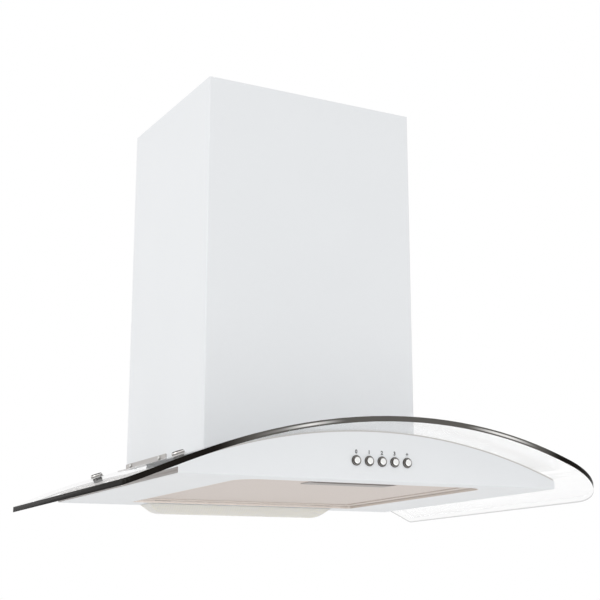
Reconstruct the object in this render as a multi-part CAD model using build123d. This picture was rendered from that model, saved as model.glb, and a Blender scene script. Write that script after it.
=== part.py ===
from build123d import *
import math
import os

os.makedirs("parts", exist_ok=True)

# Curved glass range hood, in millimetres. X runs to the right as seen from the front, Y into
# the wall and Z up. The origin lies on the wall plane, on the centre line, at the level of
# the underside. A depth is a distance from the wall plane towards the front.

FIT = 0.2             # gap between fixed sheet pieces that fit in one another
RUN = 0.3             # gap between a moving piece and its seat
CUT = 1.0             # how far a cutter runs past the faces that it opens

# One size of pan-head screw holds the sheets together
SCREW_RADIUS = 1.5
SCREW_HOLE = 1.6
SCREW_HEAD = 3.0
SCREW_HEAD_THICK = 2.0

# Body: folded shell, deck and end strips
BODY_WIDTH = 493.0
BODY_FRONT = 419.0    # depth of the front panel
BODY_BACK = 20.0      # depth of the shell's back
CROWN = 55.7          # height of the deck's top on the centre line
TIP_HEIGHT = 9.54     # height of the bent top at the body's two ends
SHEET = 1.2
FOLD = 2.0            # outer radius of the fold below the front panel
TIP_ROUND = 4.0       # rounding at the ends of the curved front panel
TRIM_THICK = 0.8
TRIM_LOW = 0.6
TRIM_HIGH = 6.8

# Glass, its seal and its four cap screws
GLASS_WIDTH = 600.0
GLASS_FRONT = 495.0
GLASS_BACK = 2.0
GLASS_THICK = 6.0
GLASS_BOW = 2200.0    # radius of the front edge in plan
GLASS_CORNER_RADIUS = 90.0
GLASS_REAR_RADIUS = 4.0
NOTCH_GAP = 4.0       # room left round the motor housing
NOTCH_CORNER = 8.0
SEAL_THICK = 1.5
SEAL_FRONT = 20.0
SEAL_SIDE = 26.0
SEAL_BACK = 10.0
CAP_INSET = 16.5      # from the body's end to a cap screw
CAP_DEPTHS = (120.0, 380.0)
CAP_RADIUS = 7.2
CAP_HEIGHT = 4.2
CAP_ROUND = 2.4
BUSH_RADIUS = 5.4
BUSH_FLANGE = 8.0
BUSH_FLANGE_THICK = 0.8
CAP_SHANK = 2.5
CAP_NUT = 4.5
CAP_NUT_THICK = 4.0

# Wall plate and motor housing
PLATE_THICK = 2.0
PLATE_TOP = 296.0
PLATE_FOOT_INSET = 20.0
PLATE_LEG_TOP = 40.0
HOLE_INSET = 40.0     # from the casing's side to a wall screw
KEYHOLE_Z = 262.0
KEYHOLE_RADIUS = 5.0
KEYHOLE_RISE = 10.0
WALL_HOLE_Z = 90.0
WALL_HOLE_RADIUS = 2.75
HOUSING_GAP = 18.5    # from the casing's side to the chimney's outside
HOUSING_FRONT = 240.0
HOUSING_LOW = 60.0
HOUSING_TOP = 290.0
HOUSING_LIP = 12.0
HOUSING_CORNER = 2.0
HOUSING_SCREW_HEIGHTS = (76.0, 278.0)
UPSTAND_TOP = 78.0

# Chimney
CHIMNEY_WIDTH = 297.0
CHIMNEY_FRONT = 256.5
CHIMNEY_TOP = 522.0
CHIMNEY_FOLD = 1.6
CHIMNEY_LIP = 14.0
CHIMNEY_SLIDE_GAP = 0.5
UPPER_SHEET = 1.0
UPPER_DROP = 2.5      # the pushed-in upper chimney ends this far below the lower one's top
TAB_HEIGHT = 62.0
TAB_DEPTHS = (60.0, 200.0)
TAB_LENGTH = 10.0
TAB_REACH = 4.0
FOOT_LENGTH = 140.0
FOOT_HEIGHT = 7.5
FOOT_WIDTH = 13.0
FOOT_THICK = 1.5
FOOT_SCREW_DEPTHS = (20.0, 122.0)
BRACKET_HEIGHT = 22.0
BRACKET_BELOW_TOP = 4.0
BRACKET_THICK = 1.5
BRACKET_WEB_INSET = 17.5
BRACKET_STEP = 3.25
BRACKET_EAR = 35.0
BRACKET_SCREW_DEPTH = 22.0
BRACKET_SCREW_LENGTH = 8.0

# Grease filter and its well
WELL_WIDTH = 324.0
WELL_FRONT = 392.0
WELL_BACK = 62.0
WELL_FRONT_CORNER = 25.0
WELL_BACK_CORNER = 4.0
WELL_WALL = 1.0
WELL_FLANGE = 5.0
WELL_LEDGE = 9.0
WELL_LEDGE_Z = 12.0
FILTER_GAP = 1.5
FILTER_BACK_GAP = 2.0
FILTER_LOW = 3.0
FILTER_THICK = 8.5
FRAME_WALL = 1.0
FRAME_LIP = 12.0
TONGUE_X = 120.0
TONGUE_WIDTH = 20.0
TONGUE_THICK = 1.4
TONGUE_REACH = 2.4    # past the well's rear wall
HINGE_BEAD = 0.9      # radius of the bead that a tongue turns on
MESH_SHEET = 0.5
MESH_PLEAT = 6.0      # width of half a pleat
POCKET_WIDTH = 108.0
POCKET_LENGTH = 38.0
POCKET_CORNER = 5.0
LATCH_WIDTH = 24.0
LATCH_LENGTH = 15.5
LATCH_GAP = 1.0
LATCH_TRAVEL = 5.0
LATCH_LOW = 5.3
LATCH_TONGUE_THICK = 2.0
LATCH_LIP_LOW = 3.3
LATCH_LIP_THICK = 2.0
RAIL_WIDTH = 1.6
SPRING_RADIUS = 1.8
SPRING_WIRE = 0.25
SPRING_TURNS = 7

# Lamp bay
LAMP_OPENING_INSET = 4.0
LAMP_OPENING_FRONT = 52.0
LAMP_OPENING_BACK = 24.2
COVER_WIDTH = 272.0
COVER_SLANT = 17.0    # how far each end leans in
COVER_END_RADIUS = 20.0
COVER_FRONT = 54.5
COVER_BACK = 22.6
COVER_DEEP = 12.2
COVER_WALL = 1.8
COVER_HEEL = 2.7      # slant of the section's rear and front edges
COVER_NOSE = 2.4
COVER_ROLL = 0.9      # rounding of the rear edge that the cover turns on
SNAP_WIDTH = 14.0
SNAP_THICK = 1.2
SNAP_RISE = 4.0
SNAP_ROOT = 6.0
SNAP_GAP = 1.0
SNAP_INSET = 36.0     # from the cover's end
HOOK_RISE = 4.0
HOOK_ROOT = 5.0
HOOK_LIP = 1.4
HOOK_LIP_LOW = 2.2
LAMP_BOX_INSET = 2.0
LAMP_BOX_FRONT = 54.0
LAMP_BOX_BACK = 21.4
LAMP_BOX_TOP = 36.0
LAMP_BOX_SHEET = 0.8
LAMP_DEPTH = 38.5
LAMP_Z = 18.0
LAMP_RADIUS = 12.5
LAMP_TIP_X = 28.0
LAMP_BASE_RADIUS = 7.0
LAMP_BASE_LENGTH = 24.0
LAMP_SHOULDER = 9.0
HOLDER_RADIUS = 11.0
HOLDER_LENGTH = 28.0
HOLDER_FLOOR = 5.0

# Push buttons in the front panel
BUTTON_COUNT = 5
BUTTON_PITCH = 16.8
BUTTON_Z = 22.5
BUTTON_RADIUS = 4.1
BUTTON_PROUD = 3.4    # how far a cap stands out of the front panel
BUTTON_TRAVEL = 3.0
BUTTON_CAP_BACK = 3.0 # how far the cap reaches behind the panel's face
STEM_RADIUS = 2.0
STEM_LENGTH = 11.0
BEZEL_RADIUS = 5.9
BEZEL_THICK = 1.6
BEZEL_ROUND = 1.0
BUTTON_ROUND = 1.2
SWITCH_WIDTH = 96.0
SWITCH_DEEP = 20.0
SWITCH_HEIGHT = 19.0
SWITCH_SCREW_X = 43.5

# Fan
FAN_DEPTH = 97.0
FAN_Z = 172.0
IMPELLER_RADIUS = 60.0
EYE_RADIUS = 50.0
IMPELLER_HALF = 32.0
BLADE_COUNT = 28
BLADE_SWEEP = 11.0    # degrees that a blade leans forward over its depth
BLADE_THICK = 1.0
HUB_RADIUS = 10.0
HUB_LENGTH = 18.0
HUB_DISC = 2.0
END_RING = 3.0
SCROLL_STEP = 8.0     # growth of the spiral in a quarter turn
TONGUE_GAP = 6.0
SCROLL_WALL = 2.0
SCROLL_HALF = 38.0    # half of the inner width
SCROLL_FLANGE = 10.0
INLET_RADIUS = 50.0
INLET_LIP = 60.0
INLET_SHEET = 1.5
SHAFT_RADIUS = 4.0
SHAFT_FIT = 0.05
SHAFT_TAIL = 6.0
MOTOR_NOSE = 22.0
MOTOR_RADIUS = 39.0
MOTOR_BELL = 34.0
MOTOR_LENGTH = 56.0
MOTOR_SHOULDER = 10.0
MOTOR_SLOPE = 2.0
MOTOR_CAP = 3.0
MOTOR_BEARING = 11.0
MOUNT_RADIUS = 30.0
ARM_LENGTH = 54.0
ARM_WIDTH = 14.0
MOUNT_ANGLES = (90, 210, 330)
CAPACITOR_RADIUS = 13.0
CAPACITOR_HEIGHT = 52.0
CAPACITOR_DEPTH = 205.0
CAPACITOR_LOW = 190.0
CAPACITOR_BEVEL = 1.0
CLIP_SHEET = 1.0
CLIP_FOOT = 20.0
CLIP_HEIGHT = 12.0

# Duct collar and its two flaps
COLLAR_DEPTH = 140.0
COLLAR_RADIUS = 75.0
COLLAR_WALL = 2.0
COLLAR_HEIGHT = 55.0
COLLAR_FLANGE = 11.0
COLLAR_FLANGE_THICK = 2.0
RIM_REACH = 4.0
RIM_HEIGHT = 4.0      # underside of the rim above the housing's top
RIM_THICK = 1.5
FLAP_THICK = 1.2
FLAP_GAP = 0.8
FLAP_PIN_RADIUS = 1.5
FLAP_PIN_SEAT = 0.9
KNUCKLE_RADIUS = 2.7
KNUCKLE_FIT = 0.06
KNUCKLE_LENGTH = 20.0
KNUCKLE_PITCH = 24.0

# Terminal box with its lid and cable gland
TERMINAL_GAP = 2.0    # beside the collar's flange
TERMINAL_INSET = 4.0  # from the casing's side
TERMINAL_LENGTH = 90.0
TERMINAL_HEIGHT = 28.0
TERMINAL_WALL = 2.0
TERMINAL_DEPTH = 75.0
TERMINAL_CORNER = 3.0
LID_THICK = 3.0
LID_BORE = 5.0
GLAND_RADIUS = 9.0
GLAND_BORE = 4.0
GLAND_HEIGHT = 16.0
GLAND_HEX = 6.0
GLAND_NUT = 7.2
GLAND_ROUND = 2.5


SHELL_HALF = BODY_WIDTH / 2 - TRIM_THICK
DECK_RISE = CROWN - TIP_HEIGHT
DECK_RADIUS = (DECK_RISE ** 2 + SHELL_HALF ** 2) / (2 * DECK_RISE)
BEND_AXIS = CROWN - DECK_RADIUS
GLASS_UNDER = DECK_RADIUS + SEAL_THICK
GLASS_OVER = GLASS_UNDER + GLASS_THICK
CAP_X = BODY_WIDTH / 2 - CAP_INSET
HOUSING_WIDTH = CHIMNEY_WIDTH - 2 * HOUSING_GAP
HOLE_SPACING = HOUSING_WIDTH - 2 * HOLE_INSET
UPSTAND_HALF = HOUSING_WIDTH / 2 - SHEET - RUN
UPSTAND_FRONT = HOUSING_FRONT - SHEET - RUN
FILTER_HIGH = FILTER_LOW + FILTER_THICK
HINGE_DEPTH = WELL_BACK + FILTER_BACK_GAP / 2
HINGE_Z = FILTER_LOW + TONGUE_THICK / 2
POCKET_FRONT = WELL_FRONT - FILTER_GAP - 2 * FRAME_WALL
POCKET_BACK = POCKET_FRONT - POCKET_LENGTH
LATCH_FRONT = POCKET_FRONT - LATCH_GAP
LAMP_OPENING_WIDTH = COVER_WIDTH - 2 * LAMP_OPENING_INSET
LAMP_BOX_WIDTH = COVER_WIDTH - 2 * LAMP_BOX_INSET
SNAP_X = COVER_WIDTH / 2 - SNAP_INSET
COLLAR_INNER = COLLAR_RADIUS - COLLAR_WALL
FLAP_LOW = HOUSING_TOP + RIM_HEIGHT + RIM_THICK + RUN
TERMINAL_LEFT = COLLAR_RADIUS + COLLAR_FLANGE + TERMINAL_GAP
TERMINAL_RIGHT = HOUSING_WIDTH / 2 - TERMINAL_INSET
TERMINAL_WIDTH = TERMINAL_RIGHT - TERMINAL_LEFT


def write(name, *solids):
    """Save one named piece, or a group of like pieces, as a STEP file."""
    shape = solids[0] if len(solids) == 1 else Compound([s.solid() for s in solids])
    export_step(shape, f"parts/{name}.step")


def from_above(plan, low, high):
    """Prism of a plan between two heights."""
    return extrude(Pos(0, 0, low) * plan, high - low)


def from_front(outline, back, front):
    """Prism of an outline seen from the front, X right and Z up, between two depths."""
    face = Plane((0, -back, 0), x_dir=(1, 0, 0), z_dir=(0, -1, 0)) * outline
    return extrude(face, front - back)


def from_side(outline, left, right):
    """Prism of an outline in Y and Z, between two places along X."""
    face = Plane((left, 0, 0), x_dir=(0, 1, 0), z_dir=(1, 0, 0)) * outline
    return extrude(face, right - left)


def plan(left, right, back, front):
    """Rectangle seen from above, between two places along X and two depths."""
    return Pos((left + right) / 2, -(back + front) / 2) * Rectangle(right - left, front - back)


def block(left, right, back, front, low, high):
    return from_above(plan(left, right, back, front), low, high)


def ring(outer, inner, low, high):
    return from_above(Circle(outer) - Circle(inner), low, high)


def round_front(sketch, radius):
    """Round the two front corners of a plan."""
    return fillet(sketch.vertices().sort_by(Axis.Y)[:2], radius)


def round_back(sketch, radius):
    """Round the two rear corners of a plan."""
    return fillet(sketch.vertices().sort_by(Axis.Y)[-2:], radius)


def pan_screw(length):
    """Screw whose head stands on the plane z = 0 and whose shank goes down from there."""
    head = from_above(Circle(SCREW_HEAD), 0, SCREW_HEAD_THICK)
    head = chamfer(head.edges().sort_by(Axis.Z)[-1], SCREW_HEAD_THICK / 3)
    return head + from_above(Circle(SCREW_RADIUS), -length, 0)


def both_sides(solid):
    """A solid and its mirror image across the centre line, left one first."""
    return [mirror(solid, Plane.YZ), solid]


def bend_bar(radius, back, front):
    """Solid bar about the axis that the deck, the seal and the glass are bent round."""
    return from_front(Pos(0, BEND_AXIS) * Circle(radius), back, front)


def bend_height(radius, x):
    return BEND_AXIS + math.sqrt(radius ** 2 - x ** 2)


def on_bend(x, depth):
    """Frame at the bend's axis whose Z passes square through the glass at x."""
    lean = math.degrees(math.asin(x / GLASS_OVER))
    return Pos(0, -depth, BEND_AXIS) * Rot(0, lean, 0)


def cap_places():
    return [on_bend(side * CAP_X, depth) for side in (-1, 1) for depth in CAP_DEPTHS]


def button_places():
    """Centres of the buttons along X, from left to right."""
    middle = (BUTTON_COUNT - 1) / 2
    return [(i - middle) * BUTTON_PITCH for i in range(BUTTON_COUNT)]


# ---- Body ---------------------------------------------------------------------------

def front_outline():
    """The body seen from the front: flat below, bent above, with short upright ends."""
    left, right = (-SHELL_HALF, TIP_HEIGHT), (SHELL_HALF, TIP_HEIGHT)
    arc = ThreePointArc(right, (0, CROWN), left)
    rest = Polyline(left, (-SHELL_HALF, 0), (SHELL_HALF, 0), right)
    outline = make_face([arc, rest])
    return fillet(outline.vertices().sort_by(Axis.Y)[-2:], TIP_ROUND)


def lamp_opening():
    half = LAMP_OPENING_WIDTH / 2
    hole = plan(-half, half, LAMP_OPENING_BACK, LAMP_OPENING_FRONT)
    return fillet(hole.vertices(), SHEET)


def body_shell():
    """Folded tray: front panel, underside, ends and back, open above for the deck."""
    shell = from_front(front_outline(), BODY_BACK, BODY_FRONT)
    bottom_front = shell.edges().filter_by(Axis.X).group_by(Axis.Z)[0].sort_by(Axis.Y)[0]
    shell = fillet(bottom_front, FOLD)
    inner = SHELL_HALF - SHEET
    shell -= block(-inner, inner, BODY_BACK + SHEET, BODY_FRONT - SHEET, SHEET, CROWN + CUT)
    shell -= from_above(well_plan(-WELL_WALL - FIT), -CUT, SHEET + CUT)
    shell -= from_above(lamp_opening(), -CUT, SHEET + CUT)
    for x in button_places():
        hole = Pos(x, BUTTON_Z) * Circle(BUTTON_RADIUS + RUN)
        shell -= from_front(hole, BODY_FRONT - SHEET - CUT, BODY_FRONT + CUT)
    for x in (-SWITCH_SCREW_X, SWITCH_SCREW_X):
        blind = Pos(x, BUTTON_Z) * Circle(SCREW_HOLE)
        shell -= from_front(blind, BODY_FRONT - SHEET - CUT, BODY_FRONT - SHEET / 2)
    return shell


def side_trims():
    """Steel strips on the two ends of the body, under the glass."""
    strip = block(SHELL_HALF, SHELL_HALF + TRIM_THICK, BODY_BACK, BODY_FRONT - FOLD, TRIM_LOW, TRIM_HIGH)
    strip = chamfer(strip.faces().sort_by(Axis.X)[-1].edges(), TRIM_THICK / 3)
    return both_sides(strip)


def top_deck():
    """Bent sheet that the glass lies on, with an upstand that ducts the air into the motor housing."""
    half = SHELL_HALF - SHEET - FIT
    back = BODY_BACK + SHEET + FIT
    front = BODY_FRONT - SHEET - FIT
    deck = bend_bar(DECK_RADIUS, back, front) - bend_bar(DECK_RADIUS - SHEET, back, front)
    deck &= block(-half, half, back, front, 0, CROWN + SHEET)
    inner = plan(-UPSTAND_HALF + SHEET, UPSTAND_HALF - SHEET, back + SHEET, UPSTAND_FRONT - SHEET)
    upstand = from_above(plan(-UPSTAND_HALF, UPSTAND_HALF, back, UPSTAND_FRONT), 0, UPSTAND_TOP)
    upstand -= bend_bar(DECK_RADIUS - SHEET, back - CUT, UPSTAND_FRONT + CUT)
    deck = deck + upstand - from_above(inner, 0, UPSTAND_TOP + CUT)
    for place in cap_places():
        deck -= place * ring_hole(CAP_SHANK + FIT)
    return deck


def ring_hole(radius):
    """Cutter for a hole square through the deck, the seal and the glass."""
    return from_above(Circle(radius), DECK_RADIUS - SHEET - CUT, GLASS_OVER + CUT)


# ---- Glass --------------------------------------------------------------------------

def glass_plan():
    """Canopy seen from above: bowed front edge, round front corners, notch for the motor housing."""
    half = GLASS_WIDTH / 2
    side = GLASS_FRONT - GLASS_BOW + math.sqrt(GLASS_BOW ** 2 - half ** 2)
    bow = ThreePointArc((-half, -side), (0, -GLASS_FRONT), (half, -side))
    rest = Polyline((half, -side), (half, -GLASS_BACK), (-half, -GLASS_BACK), (-half, -side))
    outline = make_face([bow, rest])
    outline = round_front(outline, GLASS_CORNER_RADIUS)
    outline = round_back(outline, GLASS_REAR_RADIUS)
    notch_half = HOUSING_WIDTH / 2 + NOTCH_GAP
    notch = plan(-notch_half, notch_half, GLASS_BACK - CUT, HOUSING_FRONT + NOTCH_GAP)
    return outline - round_front(notch, NOTCH_CORNER)


def glass_canopy():
    glass = bend_bar(GLASS_OVER, 0, GLASS_FRONT + CUT) - bend_bar(GLASS_UNDER, -CUT, GLASS_FRONT + 2 * CUT)
    glass &= from_above(glass_plan(), -CROWN, CROWN + 2 * GLASS_THICK)
    for place in cap_places():
        glass -= place * ring_hole(BUSH_RADIUS + FIT / 2)
    return glass


def glass_seal():
    """Foam strip round the edge of the deck, under the glass."""
    half = SHELL_HALF - SHEET - FIT
    back = BODY_BACK + SHEET + FIT
    front = BODY_FRONT - FIT
    frame = plan(-half, half, back, front)
    frame -= plan(-half + SEAL_SIDE, half - SEAL_SIDE, back + SEAL_BACK, front - SEAL_FRONT)
    notch_half = HOUSING_WIDTH / 2 + NOTCH_GAP
    frame -= plan(-notch_half, notch_half, back - CUT, back + SEAL_BACK + CUT)
    seal = bend_bar(GLASS_UNDER, back, front) - bend_bar(DECK_RADIUS, back - CUT, front + CUT)
    seal &= from_above(frame, 0, CROWN + 2 * SEAL_THICK)
    for place in cap_places():
        seal -= place * ring_hole(BUSH_RADIUS + FIT / 2)
    return seal


def glass_bush():
    """Nylon sleeve through the glass with a flange under the cap."""
    sleeve = ring(BUSH_RADIUS, CAP_SHANK + FIT / 2, DECK_RADIUS, GLASS_OVER)
    flange = ring(BUSH_FLANGE, CAP_SHANK + FIT / 2, GLASS_OVER, GLASS_OVER + BUSH_FLANGE_THICK)
    return sleeve + flange


def glass_cap_screw():
    seat = GLASS_OVER + BUSH_FLANGE_THICK
    head = from_above(Circle(CAP_RADIUS), seat, seat + CAP_HEIGHT)
    head = fillet(head.edges().sort_by(Axis.Z)[-1], CAP_ROUND)
    shank = from_above(Circle(CAP_SHANK), DECK_RADIUS - SHEET - CAP_NUT_THICK - CUT, seat)
    return head + shank


def glass_nut():
    """Hexagon nut, its top curved to the underside of the deck."""
    under = DECK_RADIUS - SHEET
    hexagon = RegularPolygon(CAP_NUT, 6) - Circle(CAP_SHANK)
    nut = from_above(hexagon, under - CAP_NUT_THICK, under + CUT)
    return nut & Rot(90, 0, 0) * Cylinder(under, 4 * CAP_NUT)


# ---- Wall plate and motor housing ---------------------------------------------------

def keyhole():
    """Round hole for a screw's head with a narrow slot above it."""
    slot = Pos(0, KEYHOLE_RISE / 2) * Rectangle(2 * WALL_HOLE_RADIUS, KEYHOLE_RISE)
    return Circle(KEYHOLE_RADIUS) + slot + Pos(0, KEYHOLE_RISE) * Circle(WALL_HOLE_RADIUS)


def housing_screw_places():
    x = HOUSING_WIDTH / 2 - HOUSING_LIP / 2
    return [(side * x, z) for side in (-1, 1) for z in HOUSING_SCREW_HEIGHTS]


def wall_plate():
    """Plate that hangs on the wall's screws. Its narrow foot has two legs that meet the shell's back."""
    foot = HOUSING_WIDTH / 2 - PLATE_FOOT_INSET
    outline = Pos(0, (HOUSING_LOW + PLATE_TOP) / 2) * Rectangle(HOUSING_WIDTH, PLATE_TOP - HOUSING_LOW)
    outline = fillet(outline.vertices(), HOUSING_CORNER)
    outline += Pos(0, (HOUSING_LOW + HOUSING_CORNER) / 2) * Rectangle(2 * foot, HOUSING_LOW + HOUSING_CORNER)
    for x in (-HOLE_SPACING / 2, HOLE_SPACING / 2):
        outline -= Pos(x, KEYHOLE_Z) * keyhole()
        outline -= Pos(x, WALL_HOLE_Z) * Circle(WALL_HOLE_RADIUS)
    for x, z in housing_screw_places():
        outline -= Pos(x, z) * Circle(SCREW_HOLE)
    plate = from_front(outline, 0, PLATE_THICK)
    for leg in both_sides(block(foot - PLATE_THICK, foot, 0, BODY_BACK, 0, PLATE_LEG_TOP)):
        plate += leg
    return plate


def channel_plan(width, back, front, wall, lip, corner):
    """Sheet folded into a box seen from above, open at the rear between two lips."""
    outer = round_front(plan(-width / 2, width / 2, back, front), corner)
    inner = plan(-width / 2 + wall, width / 2 - wall, back + wall, front - wall)
    gap = plan(-width / 2 + lip, width / 2 - lip, back - CUT, back + wall + CUT)
    return outer - round_front(inner, corner - wall) - gap


def motor_housing():
    """Folded casing, closed above but for the duct's hole and behind by the wall plate."""
    walls = channel_plan(HOUSING_WIDTH, PLATE_THICK, HOUSING_FRONT, SHEET, HOUSING_LIP, HOUSING_CORNER)
    housing = from_above(walls, HOUSING_LOW, HOUSING_TOP)
    roof = round_front(plan(-HOUSING_WIDTH / 2, HOUSING_WIDTH / 2, PLATE_THICK, HOUSING_FRONT), HOUSING_CORNER)
    roof -= Pos(0, -COLLAR_DEPTH) * Circle(COLLAR_INNER)
    housing += from_above(roof, HOUSING_TOP - SHEET, HOUSING_TOP)
    half = HOUSING_WIDTH / 2 - SHEET / 2
    housing += block(-half, half, PLATE_THICK, BODY_BACK + SHEET, HOUSING_LOW, HOUSING_LOW + SHEET)
    for x, z in housing_screw_places():
        housing -= from_front(Pos(x, z) * Circle(SCREW_HOLE), PLATE_THICK - CUT, PLATE_THICK + SHEET + CUT)
    for x, y in roof_screw_places():
        housing -= from_above(Pos(x, y) * Circle(SCREW_HOLE), HOUSING_TOP - SHEET - CUT, HOUSING_TOP + CUT)
    for place in collar_screw_places():
        housing -= COLLAR * place * from_above(Circle(SCREW_HOLE), HOUSING_TOP - SHEET - CUT, HOUSING_TOP + CUT)
    return housing


def housing_screws():
    """Screws through the casing's lips into the wall plate."""
    seat = PLATE_THICK + SHEET
    return [Pos(x, -seat, z) * Rot(90, 0, 0) * pan_screw(seat - RUN) for x, z in housing_screw_places()]


# ---- Chimney ------------------------------------------------------------------------

def lower_chimney():
    """Folded cover standing on the glass, its foot cut to the bend, with stops for the upper one."""
    walls = channel_plan(CHIMNEY_WIDTH, 0, CHIMNEY_FRONT, SHEET, CHIMNEY_LIP, CHIMNEY_FOLD)
    chimney = from_above(walls, 0, CHIMNEY_TOP)
    chimney -= bend_bar(GLASS_OVER + FIT, -CUT, CHIMNEY_FRONT + CUT)
    wall = CHIMNEY_WIDTH / 2 - SHEET
    for depth in TAB_DEPTHS:
        shelf = plan(wall - TAB_REACH, wall + SHEET / 2, depth, depth + TAB_LENGTH)
        for side in both_sides(from_above(shelf, TAB_HEIGHT, TAB_HEIGHT + SHEET)):
            chimney += side
    return chimney


def chimney_feet():
    """Angle strips on the glass that the chimney's sides are screwed to."""
    wall = CHIMNEY_WIDTH / 2
    back = GLASS_BACK
    sole = bend_bar(GLASS_OVER + FOOT_THICK, back, back + FOOT_LENGTH)
    sole &= block(wall, wall + FOOT_WIDTH, back, back + FOOT_LENGTH, 0, CROWN)
    top = bend_height(GLASS_OVER, wall) + FOOT_HEIGHT
    leg = block(wall, wall + FOOT_THICK, back, back + FOOT_LENGTH, 0, top)
    foot = sole + leg - bend_bar(GLASS_OVER, back - CUT, back + FOOT_LENGTH + CUT)
    for depth in FOOT_SCREW_DEPTHS:
        hole = Pos(-depth, foot_screw_z()) * Circle(SCREW_HOLE)
        foot -= from_side(hole, wall - CUT, wall + FOOT_THICK + CUT)
    return both_sides(foot)


def foot_screw_z():
    return bend_height(GLASS_OVER, CHIMNEY_WIDTH / 2) + FOOT_THICK + (FOOT_HEIGHT - FOOT_THICK) / 2


def chimney_screws():
    """Screws through the feet's legs into the chimney's sides."""
    face = CHIMNEY_WIDTH / 2 + FOOT_THICK
    screws = []
    for depth in FOOT_SCREW_DEPTHS:
        screws += both_sides(Pos(face, -depth, foot_screw_z()) * Rot(0, 90, 0) * pan_screw(FOOT_THICK))
    return screws


def upper_plan():
    gap = SHEET + CHIMNEY_SLIDE_GAP
    return channel_plan(
        CHIMNEY_WIDTH - 2 * gap, gap, CHIMNEY_FRONT - gap, UPPER_SHEET, CHIMNEY_LIP, CHIMNEY_FOLD
    )


def bracket_screw_z():
    return CHIMNEY_TOP - UPPER_DROP - BRACKET_BELOW_TOP - BRACKET_HEIGHT / 2


def upper_chimney():
    """Cover that slides up out of the lower one to the ceiling."""
    low = TAB_HEIGHT + SHEET + RUN
    chimney = from_above(upper_plan(), low, CHIMNEY_TOP - UPPER_DROP)
    half = CHIMNEY_WIDTH / 2
    holes = from_side(Pos(-BRACKET_SCREW_DEPTH, bracket_screw_z()) * Circle(SCREW_HOLE), -half, half)
    return chimney - holes


def chimney_bracket():
    """Strap on the wall, stepped forward at both ends and folded along the chimney's sides."""
    inner = CHIMNEY_WIDTH / 2 - SHEET - CHIMNEY_SLIDE_GAP - UPPER_SHEET - FIT - BRACKET_THICK / 2
    web = CHIMNEY_WIDTH / 2 - BRACKET_WEB_INSET - BRACKET_THICK / 2
    half = BRACKET_THICK / 2
    step = -(BRACKET_STEP + half)
    line = Polyline(
        (-inner, -BRACKET_EAR), (-inner, step), (-web, step), (-web, -half),
        (web, -half), (web, step), (inner, step), (inner, -BRACKET_EAR),
    )
    low = bracket_screw_z() - BRACKET_HEIGHT / 2
    strap = from_above(trace(line, BRACKET_THICK), low, low + BRACKET_HEIGHT)
    for x in (-HOLE_SPACING / 2, HOLE_SPACING / 2):
        strap -= from_front(Pos(x, bracket_screw_z()) * Circle(WALL_HOLE_RADIUS), -CUT, BRACKET_THICK + CUT)
    screw_hole = Pos(-BRACKET_SCREW_DEPTH, bracket_screw_z()) * Circle(SCREW_HOLE)
    return strap - from_side(screw_hole, -CHIMNEY_WIDTH / 2, CHIMNEY_WIDTH / 2)


def bracket_screws():
    """Flush screws through the upper chimney's sides into the bracket's ears."""
    face = CHIMNEY_WIDTH / 2 - SHEET - CHIMNEY_SLIDE_GAP
    place = Pos(-BRACKET_SCREW_DEPTH, bracket_screw_z())
    return both_sides(from_side(place * Circle(SCREW_RADIUS), face - BRACKET_SCREW_LENGTH, face - FIT / 2))


# ---- Grease filter ------------------------------------------------------------------

def well_plan(inset):
    """Plan of the filter's well drawn in by inset, with wide corners at the front."""
    half = WELL_WIDTH / 2 - inset
    outline = plan(-half, half, WELL_BACK + inset, WELL_FRONT - inset)
    outline = round_front(outline, WELL_FRONT_CORNER - inset)
    return round_back(outline, max(WELL_BACK_CORNER - inset, SHEET))


def filter_plan(inset):
    """Plan of the filter drawn in by inset, with the hinge's room behind it."""
    side = FILTER_GAP + inset
    half = WELL_WIDTH / 2 - side
    outline = plan(-half, half, WELL_BACK + FILTER_BACK_GAP + inset, WELL_FRONT - side)
    outline = round_front(outline, WELL_FRONT_CORNER - side)
    return round_back(outline, max(WELL_BACK_CORNER - side, SHEET))


def tongue_slots():
    """Cutters for the slots in the well's rear wall, tall enough for the tongues to turn in."""
    half = TONGUE_WIDTH / 2 + 3 * RUN
    back, front = WELL_BACK - WELL_WALL - CUT, WELL_BACK + CUT
    high = HINGE_Z + HINGE_DEPTH - WELL_BACK + TONGUE_REACH + TONGUE_THICK / 2
    return both_sides(block(TONGUE_X - half, TONGUE_X + half, back, front, 2 * SHEET, high))


def filter_well():
    """Pressed frame round the recess: upright wall, ledge above the filter, flange on the shell."""
    wall = from_above(well_plan(-WELL_WALL) - well_plan(0), 0, WELL_LEDGE_Z + WELL_WALL)
    ledge = from_above(well_plan(0) - well_plan(WELL_LEDGE), WELL_LEDGE_Z, WELL_LEDGE_Z + WELL_WALL)
    flange_plan = well_plan(-WELL_WALL - WELL_FLANGE) - well_plan(-WELL_WALL)
    well = wall + ledge + from_above(flange_plan, SHEET, SHEET + WELL_WALL)
    for slot in tongue_slots():
        well -= slot
    return well


def pocket_plan(inset):
    half = POCKET_WIDTH / 2 - inset
    cup = plan(-half, half, POCKET_BACK + inset, POCKET_FRONT - inset)
    return round_back(cup, POCKET_CORNER)


def latch_slot(back, front):
    """Cutter for the latch's way through the walls in front of it."""
    half = LATCH_WIDTH / 2 + RUN
    return block(-half, half, back, front, LATCH_LOW - RUN, LATCH_LOW + LATCH_TONGUE_THICK + RUN)


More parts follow.
